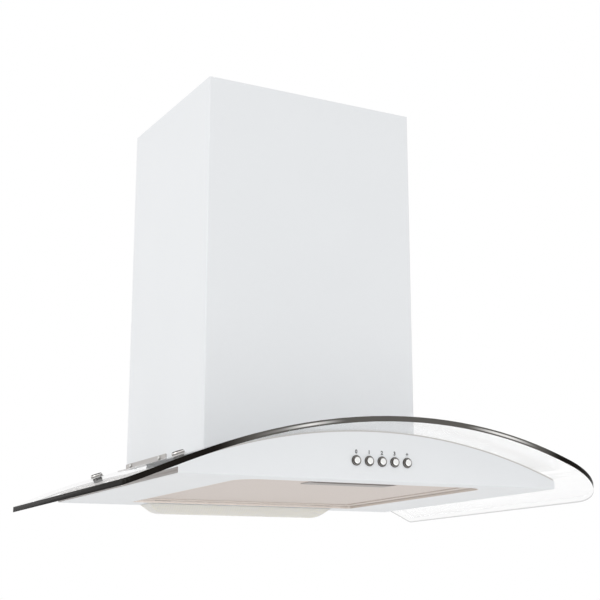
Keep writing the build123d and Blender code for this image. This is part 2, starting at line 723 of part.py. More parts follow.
def filter_frame():
    """Channel bent round the mesh, with two beaded tongues behind that hook into the well."""
    body = from_above(filter_plan(0), FILTER_LOW, FILTER_HIGH)
    body -= from_above(filter_plan(FRAME_WALL), FILTER_LOW + FRAME_WALL, FILTER_HIGH - FRAME_WALL)
    window = filter_plan(FRAME_LIP) + (pocket_plan(-FRAME_WALL - FIT) & filter_plan(FRAME_WALL))
    body -= from_above(window, FILTER_LOW - CUT, FILTER_HIGH + CUT)
    body -= latch_slot(POCKET_FRONT, WELL_FRONT)
    left, right = TONGUE_X - TONGUE_WIDTH / 2, TONGUE_X + TONGUE_WIDTH / 2
    root = WELL_BACK + FILTER_BACK_GAP + FRAME_WALL
    tongue = block(left, right, WELL_BACK - TONGUE_REACH, root, FILTER_LOW, FILTER_LOW + TONGUE_THICK)
    tongue += from_side(Pos(-HINGE_DEPTH, HINGE_Z) * Circle(HINGE_BEAD), left, right)
    for side in both_sides(tongue):
        body += side
    return body


def filter_mesh():
    """Mesh sheet with a pleated one on it, inside the frame and cut out round the handle's pocket."""
    inset = FRAME_WALL + FIT
    low = FILTER_LOW + inset
    high = FILTER_HIGH - inset
    pad = from_above(filter_plan(inset), low, high)
    pad -= from_above(pocket_plan(-FRAME_WALL - FIT), FILTER_LOW, FILTER_HIGH)
    half = WELL_WIDTH / 2
    count = round(WELL_WIDTH / MESH_PLEAT)
    rise = (low + MESH_SHEET, high - MESH_SHEET)
    crests = [(-half + i * MESH_PLEAT, rise[i % 2]) for i in range(count + 1)]
    pleats = from_front(trace(Polyline(*crests), MESH_SHEET), WELL_BACK, WELL_FRONT)
    sheet = block(-half, half, WELL_BACK, WELL_FRONT, low, low + MESH_SHEET)
    return (sheet + pleats) & pad


def filter_handle():
    """Pressed cup for the fingers, with two rails that guide the latch."""
    cup = from_above(pocket_plan(-FRAME_WALL + FIT / 2), FILTER_LOW, FILTER_HIGH)
    cup -= from_above(pocket_plan(FIT / 2), FILTER_LOW - CUT, FILTER_HIGH - FRAME_WALL)
    cup -= latch_slot(POCKET_FRONT - FRAME_WALL, WELL_FRONT)
    side = LATCH_WIDTH / 2 + RUN
    back = LATCH_FRONT - LATCH_LENGTH - LATCH_TRAVEL
    rail = block(side, side + RAIL_WIDTH, back, POCKET_FRONT, LATCH_LOW, FILTER_HIGH - FRAME_WALL)
    for one in both_sides(rail):
        cup += one
    return cup


def filter_latch():
    """Sliding latch: a block between the rails, a tongue in front and a lip for the finger."""
    half = LATCH_WIDTH / 2
    high = FILTER_HIGH - FRAME_WALL - RUN
    back = LATCH_FRONT - LATCH_LENGTH
    latch = block(-half, half, back, LATCH_FRONT, LATCH_LOW, high)
    latch += block(-half, half, back, WELL_FRONT - RUN, LATCH_LOW, LATCH_LOW + LATCH_TONGUE_THICK)
    latch += block(-half, half, back, back + LATCH_LIP_THICK, LATCH_LIP_LOW, high)
    return latch


def least_gap(coil):
    """Smallest gap between the turns of the coil, measured on points half a turn or more apart."""
    steps = 24 * SPRING_TURNS
    points = [coil @ (i / steps) for i in range(steps + 1)]
    pairs = [(i, j) for i in range(steps + 1) for j in range(i + 12, steps + 1)]
    return min((points[i] - points[j]).length for i, j in pairs) - 2 * SPRING_WIRE


def latch_spring():
    """Compression coil between the latch and the back of the pocket."""
    back = POCKET_BACK + FIT / 2 + SPRING_WIRE
    length = LATCH_FRONT - LATCH_LENGTH - back - SPRING_WIRE
    coil = Helix(length / SPRING_TURNS, length, SPRING_RADIUS)
    wire = sweep(Plane(origin=coil @ 0, z_dir=coil % 0) * Circle(SPRING_WIRE), path=coil)
    print(f"latch spring: least gap {least_gap(coil):.2f} mm")
    middle = (LATCH_LOW + FILTER_HIGH - FRAME_WALL - RUN) / 2
    return Pos(0, -back, middle) * Rot(90, 0, 0) * wire


# ---- Lamp bay -----------------------------------------------------------------------

def cover_solid(inset):
    """The lamp cover's outer form drawn in by inset: a bellied section with slanted ends.

    The outside is rounded at the rear top edge, about the line that the cover turns on.
    """
    top = -RUN
    low = -COVER_DEEP + inset
    rear = COVER_BACK + inset
    front = COVER_FRONT - inset
    heel = (-rear - COVER_HEEL, low + COVER_HEEL)
    nose = (-front + COVER_NOSE, -COVER_NOSE)
    belly = ThreePointArc(heel, (-(rear + front) / 2, low), nose)
    rest = Polyline(nose, (-front, top), (-rear, top), heel)
    section = make_face([belly, rest])
    if inset == 0:
        section = fillet(section.vertices().sort_by(Axis.X)[-1], COVER_ROLL)
    section = from_side(section, -COVER_WIDTH, COVER_WIDTH)
    wide = COVER_WIDTH / 2 - inset
    narrow = wide - COVER_SLANT
    ends = Polyline((-wide, top), (wide, top), (narrow, -COVER_DEEP), (-narrow, -COVER_DEEP), close=True)
    ends = make_face(ends)
    ends = fillet(ends.vertices().sort_by(Axis.Y)[:2], COVER_END_RADIUS)
    return section & from_front(ends, 0, 2 * COVER_FRONT)


def lamp_cover():
    """Translucent tray under the lamps. Hooks hold it at the rear edge and it snaps in at the front."""
    form = cover_solid(0)
    left, right = SNAP_X - SNAP_WIDTH / 2, SNAP_X + SNAP_WIDTH / 2
    hook_back = LAMP_OPENING_BACK + RUN
    snap_front = LAMP_OPENING_FRONT - SNAP_GAP
    hook = block(left, right, hook_back, hook_back + SNAP_THICK, -HOOK_ROOT, HOOK_RISE)
    hook += block(left, right, hook_back - HOOK_LIP, hook_back, HOOK_LIP_LOW, HOOK_RISE)
    snap = block(left, right, snap_front - SNAP_THICK, snap_front, -SNAP_ROOT, SNAP_RISE)
    cover = form - cover_solid(COVER_WALL)
    for tab in (hook, snap):
        below = tab & block(left, right, 0, 2 * COVER_FRONT, -COVER_DEEP, -RUN)
        tab = tab - (below - form)
        for side in both_sides(tab):
            cover += side
    return cover


def lamp_box():
    """Open-bottomed reflector box on the shell's floor, over the lamp opening."""
    half = LAMP_BOX_WIDTH / 2
    box = block(-half, half, LAMP_BOX_BACK, LAMP_BOX_FRONT, SHEET, LAMP_BOX_TOP)
    thin = LAMP_BOX_SHEET
    box -= block(-half + thin, half - thin, LAMP_BOX_BACK + thin, LAMP_BOX_FRONT - thin, 0, LAMP_BOX_TOP - thin)
    return box


def lamp_holders():
    """Ceramic sockets on the two ends of the lamp box."""
    end = LAMP_BOX_WIDTH / 2 - LAMP_BOX_SHEET
    place = Pos(-LAMP_DEPTH, LAMP_Z)
    socket = from_side(place * Circle(HOLDER_RADIUS), end - HOLDER_LENGTH, end)
    socket -= from_side(place * Circle(LAMP_BASE_RADIUS + RUN), end - HOLDER_LENGTH - CUT, end - HOLDER_FLOOR)
    return both_sides(socket)


def lamps():
    """Tubular lamps lying end to end, each turned about its own axis from one outline."""
    base_end = LAMP_BOX_WIDTH / 2 - LAMP_BOX_SHEET - HOLDER_FLOOR - RUN
    shoulder = base_end - LAMP_BASE_LENGTH
    belly = shoulder - LAMP_SHOULDER
    nose = LAMP_TIP_X + LAMP_RADIUS
    side = Polyline(
        (LAMP_TIP_X, 0), (base_end, 0), (base_end, LAMP_BASE_RADIUS), (shoulder, LAMP_BASE_RADIUS),
        (belly, LAMP_RADIUS), (nose, LAMP_RADIUS),
    )
    waist = LAMP_RADIUS * math.sqrt(0.5)
    tip = ThreePointArc((nose, LAMP_RADIUS), (nose - waist, waist), (LAMP_TIP_X, 0))
    lamp = revolve(make_face([side, tip]), Axis.X)
    return both_sides(Pos(0, -LAMP_DEPTH, LAMP_Z) * lamp)


# ---- Buttons ------------------------------------------------------------------------

def switch_block():
    """Switch body behind the front panel, with a stepped bore for each button."""
    face = BODY_FRONT - SHEET
    body = Pos(0, BUTTON_Z) * RectangleRounded(SWITCH_WIDTH, SWITCH_HEIGHT, FOLD)
    switch = from_front(body, face - SWITCH_DEEP, face)
    cap_room = BODY_FRONT - BUTTON_CAP_BACK - BUTTON_TRAVEL - RUN
    stem_room = BODY_FRONT - BUTTON_CAP_BACK - STEM_LENGTH - BUTTON_TRAVEL - RUN
    for x in button_places():
        switch -= from_front(Pos(x, BUTTON_Z) * Circle(BUTTON_RADIUS + RUN), cap_room, face + CUT)
        switch -= from_front(Pos(x, BUTTON_Z) * Circle(STEM_RADIUS + RUN), stem_room, face)
    for x in (-SWITCH_SCREW_X, SWITCH_SCREW_X):
        switch -= from_front(Pos(x, BUTTON_Z) * Circle(SCREW_HOLE), face - SWITCH_DEEP - CUT, face + CUT)
    return switch


def switch_screws():
    seat = BODY_FRONT - SHEET - SWITCH_DEEP
    screw = Rot(-90, 0, 0) * pan_screw(SWITCH_DEEP + SHEET / 3)
    return [Pos(x, -seat, BUTTON_Z) * screw for x in (-SWITCH_SCREW_X, SWITCH_SCREW_X)]


def button_bezels():
    """Rings round the buttons, rounded at the outer edge."""
    bezels = []
    for x in button_places():
        disc = from_front(Pos(x, BUTTON_Z) * Circle(BEZEL_RADIUS), BODY_FRONT, BODY_FRONT + BEZEL_THICK)
        disc = fillet(disc.edges().sort_by(Axis.Y)[0], BEZEL_ROUND)
        bore = Pos(x, BUTTON_Z) * Circle(BUTTON_RADIUS + RUN)
        bore = from_front(bore, BODY_FRONT - CUT, BODY_FRONT + 2 * BEZEL_THICK)
        bezels.append(disc - bore)
    return bezels


def push_button(x):
    """Turned cap with a softened rim, on a slim stem."""
    back = BODY_FRONT - BUTTON_CAP_BACK
    cap = from_front(Pos(x, BUTTON_Z) * Circle(BUTTON_RADIUS), back, BODY_FRONT + BUTTON_PROUD)
    cap = fillet(cap.edges().sort_by(Axis.Y)[0], BUTTON_ROUND)
    return cap + from_front(Pos(x, BUTTON_Z) * Circle(STEM_RADIUS), back - STEM_LENGTH, back)


# ---- Fan ----------------------------------------------------------------------------

FAN = Pos(0, -FAN_DEPTH, FAN_Z)


def scroll_face(top):
    """Spiral of three quarter arcs about the corners of a small square, then straight up to the outlet."""
    a = SCROLL_STEP
    first = IMPELLER_RADIUS + TONGUE_GAP + a / 2
    arcs = [
        CenterArc((a / 2, -a / 2), first, 90, -90),
        CenterArc((-a / 2, -a / 2), first + a, 0, -90),
        CenterArc((-a / 2, a / 2), first + 2 * a, -90, -90),
    ]
    far = -a / 2 - first - 2 * a
    outlet = Polyline((far, a / 2), (far, top), (a / 2, top), (a / 2, first - a / 2))
    return make_face(arcs + [outlet])


def outlet_edges():
    """The outlet's two ends along Y, from the fan's axis."""
    a = SCROLL_STEP
    first = IMPELLER_RADIUS + TONGUE_GAP + a / 2
    return -a / 2 - first - 2 * a, a / 2


def fan_scroll():
    """Spiral casing with an inlet on its left side and a flanged outlet under the roof."""
    top = HOUSING_TOP - SHEET - FAN_Z
    hull = offset(scroll_face(top), SCROLL_WALL) & Pos(0, top - FAN_Z) * Rectangle(2 * FAN_Z, 2 * FAN_Z)
    outer = SCROLL_HALF + SCROLL_WALL
    scroll = FAN * from_side(hull, -outer, outer)
    far, near = outlet_edges()
    flange = plan(-outer - SCROLL_FLANGE, outer + SCROLL_FLANGE,
                  FAN_DEPTH - near - SCROLL_FLANGE, FAN_DEPTH - far + SCROLL_FLANGE)
    scroll += from_above(flange, HOUSING_TOP - SHEET - SCROLL_WALL, HOUSING_TOP - SHEET)
    scroll -= FAN * from_side(scroll_face(top + CUT), -SCROLL_HALF, SCROLL_HALF)
    scroll -= FAN * from_side(Circle(INLET_RADIUS + INLET_SHEET + FIT), -outer - CUT, -SCROLL_HALF + CUT)
    scroll -= FAN * from_side(Circle(MOTOR_NOSE + FIT), SCROLL_HALF - CUT, outer + CUT)
    for angle in MOUNT_ANGLES:
        scroll -= FAN * from_side(arm_place(angle) * Circle(SCREW_HOLE), SCROLL_HALF - CUT, outer + CUT)
    for x, y in roof_screw_places():
        hole = from_above(Pos(x, y) * Circle(SCREW_HOLE), HOUSING_TOP - SHEET - SCROLL_WALL - CUT, HOUSING_TOP)
        scroll -= hole
    return scroll


def roof_screw_places():
    """Screws that hang the scroll from the roof, one near each corner of its flange."""
    far, near = outlet_edges()
    x = SCROLL_HALF + SCROLL_WALL + SCROLL_FLANGE / 2
    depths = (FAN_DEPTH - near - SCROLL_FLANGE / 2, FAN_DEPTH - far + SCROLL_FLANGE / 2)
    return [(side * x, -depth) for side in (-1, 1) for depth in depths]


def scroll_screws():
    seat = HOUSING_TOP - SHEET - SCROLL_WALL
    screw = Rot(180, 0, 0) * pan_screw(SHEET + SCROLL_WALL)
    return [Pos(x, y, seat) * screw for x, y in roof_screw_places()]


def inlet_ring():
    """Bell mouth on the scroll's inlet, turned from a strip that flares outwards."""
    seat = -SCROLL_HALF - SCROLL_WALL
    mouth = INLET_LIP - INLET_RADIUS
    inside = seat + SCROLL_WALL + INLET_SHEET
    sleeve = INLET_RADIUS + INLET_SHEET
    throat = Polyline(
        (seat - mouth / 2, INLET_LIP), (seat, INLET_LIP), (seat, sleeve),
        (inside, sleeve), (inside, INLET_RADIUS), (seat, INLET_RADIUS),
    )
    flare = RadiusArc((seat, INLET_RADIUS), (seat - mouth / 2, INLET_LIP), mouth)
    return FAN * revolve(make_face([throat, flare]), Axis.X)


def polar(radius, angle):
    return (radius * math.cos(math.radians(angle)), radius * math.sin(math.radians(angle)))


def blade_plan():
    """One forward-curved blade seen along the shaft."""
    tip = IMPELLER_RADIUS - FIT
    middle = (EYE_RADIUS + tip) / 2
    thick = math.degrees(BLADE_THICK / middle)
    faces = []
    for turn in (0, thick):
        start, end = polar(EYE_RADIUS, turn), polar(tip, BLADE_SWEEP + turn)
        faces.append(ThreePointArc(start, polar(middle, BLADE_SWEEP / 3 + turn), end))
    back, front = faces
    return make_face([back, Line(back @ 1, front @ 1), front, Line(front @ 0, back @ 0)])


def impeller():
    """Squirrel cage: forward-curved blades between a hub disc and an end ring."""
    half = IMPELLER_HALF
    blades = Sketch() + [Rot(0, 0, i * 360 / BLADE_COUNT) * blade_plan() for i in range(BLADE_COUNT)]
    cage = from_side(blades, -half, half)
    cage += from_side(Circle(IMPELLER_RADIUS) - Circle(EYE_RADIUS + 1), -half, -half + END_RING)
    cage += from_side(Circle(IMPELLER_RADIUS), half - HUB_DISC, half)
    cage += from_side(Circle(HUB_RADIUS), half - HUB_LENGTH, half)
    return FAN * (cage - from_side(Circle(SHAFT_RADIUS), -half, half + CUT))


def motor_shaft():
    rear = SCROLL_HALF + SCROLL_WALL + MOTOR_LENGTH + SHAFT_TAIL
    rod = from_side(Circle(SHAFT_RADIUS), IMPELLER_HALF - HUB_LENGTH - CUT, rear)
    return FAN * chamfer(rod.edges().filter_by(GeomType.CIRCLE), SHAFT_RADIUS / 6)


def motor():
    """Fan motor turned from its profile: nose, front bell, laminated stack, rear bell."""
    nose = SCROLL_HALF + FIT
    face = SCROLL_HALF + 2 * SCROLL_WALL
    rear = SCROLL_HALF + SCROLL_WALL + MOTOR_LENGTH
    stack = (face + MOTOR_SHOULDER, rear - MOTOR_CAP - MOTOR_SHOULDER)
    bore = SHAFT_RADIUS + SHAFT_FIT
    profile = Polyline(
        (nose, bore), (nose, MOTOR_NOSE), (face, MOTOR_NOSE), (face, MOTOR_BELL),
        (stack[0], MOTOR_BELL + MOTOR_SLOPE), (stack[0], MOTOR_RADIUS),
        (stack[1], MOTOR_RADIUS), (stack[1], MOTOR_BELL + MOTOR_SLOPE),
        (rear - MOTOR_CAP, MOTOR_BELL - MOTOR_SLOPE), (rear - MOTOR_CAP, MOTOR_BEARING),
        (rear, MOTOR_BEARING), (rear, bore),
        close=True,
    )
    return FAN * revolve(make_face(profile), Axis.X)


def arm_place(angle):
    return Pos(*polar(ARM_LENGTH - ARM_WIDTH / 2, angle))


def motor_mount():
    """Flat spider with three arms on the scroll's right side, round the motor's nose."""
    plate = Circle(MOUNT_RADIUS)
    for angle in MOUNT_ANGLES:
        arm = Pos(ARM_LENGTH / 2, 0) * SlotOverall(ARM_LENGTH, ARM_WIDTH)
        plate += Rot(0, 0, angle) * arm
    plate -= Circle(MOTOR_NOSE + FIT)
    for angle in MOUNT_ANGLES:
        plate -= arm_place(angle) * Circle(SCREW_HOLE)
    face = SCROLL_HALF + SCROLL_WALL
    return FAN * from_side(plate, face, face + SCROLL_WALL)


def motor_screws():
    face = SCROLL_HALF + 2 * SCROLL_WALL
    screw = Rot(0, 90, 0) * pan_screw(2 * SCROLL_WALL)
    reach = ARM_LENGTH - ARM_WIDTH / 2
    return [FAN * Pos(face, *polar(reach, angle)) * screw for angle in MOUNT_ANGLES]


def capacitor_place():
    return Pos(-HOUSING_WIDTH / 2 + SHEET + 2 * CLIP_SHEET + CAPACITOR_RADIUS, -CAPACITOR_DEPTH)


def capacitor():
    can = from_above(Circle(CAPACITOR_RADIUS), CAPACITOR_LOW, CAPACITOR_LOW + CAPACITOR_HEIGHT)
    can = chamfer(can.edges().filter_by(GeomType.CIRCLE), CAPACITOR_BEVEL)
    return capacitor_place() * can


def capacitor_clip():
    """Band round the capacitor on a foot against the housing's left wall."""
    wall = -HOUSING_WIDTH / 2 + SHEET
    can = capacitor_place() * Circle(CAPACITOR_RADIUS + FIT / 2)
    band = capacitor_place() * Circle(CAPACITOR_RADIUS + CLIP_SHEET)
    foot = plan(wall, wall + CLIP_SHEET, CAPACITOR_DEPTH - CLIP_FOOT, CAPACITOR_DEPTH + CLIP_FOOT)
    web = plan(wall, wall + 3 * CLIP_SHEET, CAPACITOR_DEPTH - 3 * CLIP_SHEET, CAPACITOR_DEPTH + 3 * CLIP_SHEET)
    low = CAPACITOR_LOW + (CAPACITOR_HEIGHT - CLIP_HEIGHT) / 2
    return from_above(band + foot + web - can, low, low + CLIP_HEIGHT)


# ---- Duct collar --------------------------------------------------------------------

COLLAR = Pos(0, -COLLAR_DEPTH, 0)


def flap_axis_z():
    return FLAP_LOW + KNUCKLE_RADIUS


def collar_screw_places():
    return [Pos(*polar(COLLAR_RADIUS + COLLAR_FLANGE / 2, turn)) for turn in (45, 135, 225, 315)]


def duct_collar():
    """Spigot for the duct with a base flange, and a rim inside that the flaps close on."""
    low = HOUSING_TOP
    tube = ring(COLLAR_RADIUS, COLLAR_INNER, low, low + COLLAR_HEIGHT)
    tube += ring(COLLAR_RADIUS + COLLAR_FLANGE, COLLAR_INNER, low, low + COLLAR_FLANGE_THICK)
    rim = low + RIM_HEIGHT
    tube += ring(COLLAR_RADIUS - COLLAR_WALL / 2, COLLAR_INNER - RIM_REACH, rim, rim + RIM_THICK)
    reach = COLLAR_INNER + FLAP_PIN_SEAT
    tube -= from_front(Pos(0, flap_axis_z()) * Circle(FLAP_PIN_RADIUS), -reach, reach)
    for place in collar_screw_places():
        tube -= place * from_above(Circle(SCREW_HOLE), low - CUT, low + COLLAR_FLANGE_THICK + CUT)
    return COLLAR * tube


def collar_screws():
    seat = Pos(0, 0, HOUSING_TOP + COLLAR_FLANGE_THICK)
    screw = pan_screw(COLLAR_FLANGE_THICK + SHEET)
    return [COLLAR * place * seat * screw for place in collar_screw_places()]


def damper_pin():
    reach = COLLAR_INNER + FLAP_PIN_SEAT
    return COLLAR * from_front(Pos(0, flap_axis_z()) * Circle(FLAP_PIN_RADIUS), -reach, reach)


def damper_flaps():
    """Two half-round leaves whose knuckles alternate along one pin."""
    radius = COLLAR_INNER - FLAP_GAP
    edge = KNUCKLE_RADIUS + 2 * FIT
    flaps = []
    for side, first in ((-1, 0), (1, 1)):
        half = Pos(side * (edge + radius), 0) * Rectangle(2 * radius, 2 * radius)
        flap = from_above(Circle(radius) & half, FLAP_LOW, FLAP_LOW + FLAP_THICK)
        for i in (first, first + 2):
            low = (i - 1.5) * KNUCKLE_PITCH - KNUCKLE_LENGTH / 2
            high = low + KNUCKLE_LENGTH
            flap += from_front(Pos(0, flap_axis_z()) * Circle(KNUCKLE_RADIUS), low, high)
            web = sorted((0, side * (edge + FLAP_THICK)))
            flap += block(*web, low, high, FLAP_LOW, FLAP_LOW + FLAP_THICK)
        reach = COLLAR_INNER
        bore = from_front(Pos(0, flap_axis_z()) * Circle(FLAP_PIN_RADIUS + KNUCKLE_FIT), -reach, reach)
        flaps.append(COLLAR * (flap - bore))
    return flaps


# ---- Terminal box -------------------------------------------------------------------

TERMINAL = Pos((TERMINAL_LEFT + TERMINAL_RIGHT) / 2, -TERMINAL_DEPTH, 0)


def terminal_box():
    """Moulded box on the housing's roof, beside the collar."""
    wall = TERMINAL_WALL
    body = RectangleRounded(TERMINAL_WIDTH, TERMINAL_LENGTH, TERMINAL_CORNER)
    room = RectangleRounded(TERMINAL_WIDTH - 2 * wall, TERMINAL_LENGTH - 2 * wall, TERMINAL_CORNER - wall)
    top = HOUSING_TOP + TERMINAL_HEIGHT
    return TERMINAL * (from_above(body, HOUSING_TOP, top) - from_above(room, HOUSING_TOP + wall, top + CUT))


def terminal_lid():
    top = HOUSING_TOP + TERMINAL_HEIGHT
    lid = from_above(RectangleRounded(TERMINAL_WIDTH, TERMINAL_LENGTH, TERMINAL_CORNER), top, top + LID_THICK)
    lid = chamfer(lid.faces().sort_by(Axis.Z)[-1].edges(), LID_THICK / 4)
    return TERMINAL * (lid - from_above(Circle(LID_BORE), top - CUT, top + LID_THICK + CUT))


def cable_gland():
    """Hexagonal gland for the mains lead, with a domed nut."""
    low = HOUSING_TOP + TERMINAL_HEIGHT + LID_THICK
    gland = from_above(RegularPolygon(GLAND_RADIUS, 6), low, low + GLAND_HEX)
    dome = from_above(Circle(GLAND_NUT), low, low + GLAND_HEIGHT)
    dome = fillet(dome.edges().sort_by(Axis.Z)[-1], GLAND_ROUND)
    return TERMINAL * (gland + dome - from_above(Circle(GLAND_BORE), low - CUT, low + GLAND_HEIGHT + CUT))


# ---- All pieces ---------------------------------------------------------------------

write("body_shell", body_shell())
for name, piece in zip(("side_trim_left", "side_trim_right"), side_trims()):
    write(name, piece)
write("top_deck", top_deck())
write("glass_canopy", glass_canopy())
write("glass_seal", glass_seal())
write("glass_bushes", *[place * glass_bush() for place in cap_places()])
write("glass_cap_screws", *[place * glass_cap_screw() for place in cap_places()])
write("glass_nuts", *[place * glass_nut() for place in cap_places()])

write("wall_plate", wall_plate())
write("motor_housing", motor_housing())
write("housing_screws", *housing_screws())
write("lower_chimney", lower_chimney())
for name, piece in zip(("chimney_foot_left", "chimney_foot_right"), chimney_feet()):
    write(name, piece)
write("chimney_screws", *chimney_screws())
write("upper_chimney", upper_chimney())
write("chimney_bracket", chimney_bracket())
write("bracket_screws", *bracket_screws())

write("filter_well", filter_well())
write("filter_frame", filter_frame())
write("filter_mesh", filter_mesh())
write("filter_handle", filter_handle())
write("filter_latch", filter_latch())
write("latch_spring", latch_spring())

write("lamp_box", lamp_box())
write("lamp_cover", lamp_cover())
for name, piece in zip(("lamp_holder_left", "lamp_holder_right"), lamp_holders()):
    write(name, piece)
for name, piece in zip(("lamp_left", "lamp_right"), lamps()):
    write(name, piece)

write("switch_block", switch_block())
write("switch_screws", *switch_screws())
write("button_bezels", *button_bezels())
for number, x in enumerate(button_places(), start=1):
    write(f"button_{number}", push_button(x))

write("fan_scroll", fan_scroll())
write("scroll_screws", *scroll_screws())
write("inlet_ring", inlet_ring())
write("impeller", impeller())
write("motor_shaft", motor_shaft())
write("motor", motor())
write("motor_mount", motor_mount())
write("motor_screws", *motor_screws())
write("capacitor", capacitor())
write("capacitor_clip", capacitor_clip())

write("duct_collar", duct_collar())
write("collar_screws", *collar_screws())
write("damper_pin", damper_pin())
for name, piece in zip(("damper_flap_left", "damper_flap_right"), damper_flaps()):
    write(name, piece)
write("terminal_box", terminal_box())
write("terminal_lid", terminal_lid())
write("cable_gland", cable_gland())
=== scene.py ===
import math

import bmesh
import bpy
from mathutils import Matrix, Vector


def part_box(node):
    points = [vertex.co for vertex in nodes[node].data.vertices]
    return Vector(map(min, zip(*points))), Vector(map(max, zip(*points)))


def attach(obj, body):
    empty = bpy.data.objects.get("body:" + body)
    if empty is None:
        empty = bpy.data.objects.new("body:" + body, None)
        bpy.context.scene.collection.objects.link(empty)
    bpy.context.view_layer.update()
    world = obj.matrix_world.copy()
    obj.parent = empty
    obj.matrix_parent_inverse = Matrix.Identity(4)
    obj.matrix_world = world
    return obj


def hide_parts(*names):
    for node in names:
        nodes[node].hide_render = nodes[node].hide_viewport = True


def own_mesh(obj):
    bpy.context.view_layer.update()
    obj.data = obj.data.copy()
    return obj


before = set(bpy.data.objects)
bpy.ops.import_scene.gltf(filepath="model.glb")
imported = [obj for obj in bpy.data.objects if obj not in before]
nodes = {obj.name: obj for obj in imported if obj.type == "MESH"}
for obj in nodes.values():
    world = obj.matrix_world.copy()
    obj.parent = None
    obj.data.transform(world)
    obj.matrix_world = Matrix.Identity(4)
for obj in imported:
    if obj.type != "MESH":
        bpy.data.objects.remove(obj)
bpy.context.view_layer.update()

# The studio. A pale floor lies where a kitchen floor would, 1.6 m below the hood, and a white
# surround is seen by the camera, the chrome and the glass. The camera stands low on the left,
# as in the photograph, and its short shift sets the hood where it sits in the picture.
FLOOR_BELOW = 1.6
FLOOR_REACH = 6.0
FLOOR_PALE = (0.88, 0.88, 0.88)
FLOOR_GREY = (0.84, 0.84, 0.84)
FLOOR_GRAIN = 9.0
SURROUND_LIGHT = 0.90
CAMERA_PLACE = Vector((-0.7644, -1.6787, -0.1404))
CAMERA_YAW, CAMERA_PITCH, CAMERA_ROLL = (math.radians(angle) for angle in (30.85, 14.51, -0.83))
CAMERA_LENS = 77.88
CAMERA_SHIFT = (-0.117, -0.042)

ahead = Vector((
    math.sin(CAMERA_YAW) * math.cos(CAMERA_PITCH),
    math.cos(CAMERA_YAW) * math.cos(CAMERA_PITCH),
    math.sin(CAMERA_PITCH),
))
right = Vector((math.cos(CAMERA_YAW), -math.sin(CAMERA_YAW), 0))
above = right.cross(ahead)
right, above = (
    math.cos(CAMERA_ROLL) * right + math.sin(CAMERA_ROLL) * above,
    math.cos(CAMERA_ROLL) * above - math.sin(CAMERA_ROLL) * right,
)
lens = bpy.data.cameras.new("camera")
lens.sensor_width = 36
lens.lens = CAMERA_LENS
lens.shift_x, lens.shift_y = CAMERA_SHIFT
camera = bpy.data.objects.new("camera", lens)
turn = Matrix((right, above, -ahead)).transposed()
camera.matrix_world = Matrix.Translation(CAMERA_PLACE) @ turn.to_4x4()
bpy.context.scene.collection.objects.link(camera)
bpy.context.scene.camera = camera
bpy.context.scene.view_settings.view_transform = "Standard"


def lamp_panel(name, place, aim, size, power):
    """A square soft light that looks from place to aim."""
    light = bpy.data.lights.new(name, "AREA")
    light.shape = "SQUARE"
    light.size = size
    light.energy = power
    panel = bpy.data.objects.new(name, light)
    panel.location = place
    panel.rotation_euler = (Vector(aim) - Vector(place)).to_track_quat("-Z", "Y").to_euler()
    bpy.context.scene.collection.objects.link(panel)


lamp_panel("light_left", place=(-2.6, -0.9, 0.3), aim=(0, -0.2, 0.2), size=1.8, power=13.5)
lamp_panel("light_low", place=(0.3, -2.3, -0.9), aim=(0, -0.25, 0.1), size=2.0, power=8.5)


def step_of(tree, kind, operation, first, second=None):
    """One step of arithmetic in a node tree; second is another node's socket or a plain value."""
    step = tree.nodes.new(kind)
    step.operation = operation
    tree.links.new(first, step.inputs[0])
    if hasattr(second, "node"):
        tree.links.new(second, step.inputs[1])
    elif second is not None:
        step.inputs[1].default_value = second
    return step


surround = bpy.data.worlds.new("surround")
surround.use_nodes = True
bpy.context.scene.world = surround
sky = surround.node_tree
sky.nodes.clear()
seen = sky.nodes.new("ShaderNodeLightPath")
seen_air = step_of(
    sky, "ShaderNodeMath", "MAXIMUM", seen.outputs["Is Camera Ray"], seen.outputs["Is Glossy Ray"]
)
seen_air = step_of(sky, "ShaderNodeMath", "MAXIMUM", seen_air.outputs[0], seen.outputs["Is Transmission Ray"])
choice = sky.nodes.new("ShaderNodeMixShader")
sky.links.new(seen_air.outputs[0], choice.inputs[0])
for socket, strength in ((1, SURROUND_LIGHT), (2, 1.0)):
    air = sky.nodes.new("ShaderNodeBackground")
    air.inputs["Color"].default_value = (1, 1, 1, 1)
    air.inputs["Strength"].default_value = strength
    sky.links.new(air.outputs[0], choice.inputs[socket])
sky_out = sky.nodes.new("ShaderNodeOutputWorld")
sky.links.new(choice.outputs[0], sky_out.inputs[0])


def finish_of(name, color, roughness, metallic=0.0):
    """A new material with one Principled BSDF; returns the material, its node tree and that shader."""
    material = bpy.data.materials.new(name)
    material.use_nodes = True
    tree = material.node_tree
    shader = tree.nodes["Principled BSDF"]
    shader.inputs["Base Color"].default_value = (*color, 1)
    shader.inputs["Roughness"].default_value = roughness
    shader.inputs["Metallic"].default_value = metallic
    return material, tree, shader


def object_place(tree):
    """The point in metres on the piece itself, which every grain and speckle is laid out by."""
    return tree.nodes.new("ShaderNodeTexCoord").outputs["Object"]


def blend_colors(tree, mask, low, high):
    """A colour that goes from low to high with the mask."""
    mix = tree.nodes.new("ShaderNodeMix")
    mix.data_type = "RGBA"
    mix.inputs[6].default_value = (*low, 1)
    mix.inputs[7].default_value = (*high, 1)
    tree.links.new(mask, mix.inputs[0])
    return mix.outputs[2]


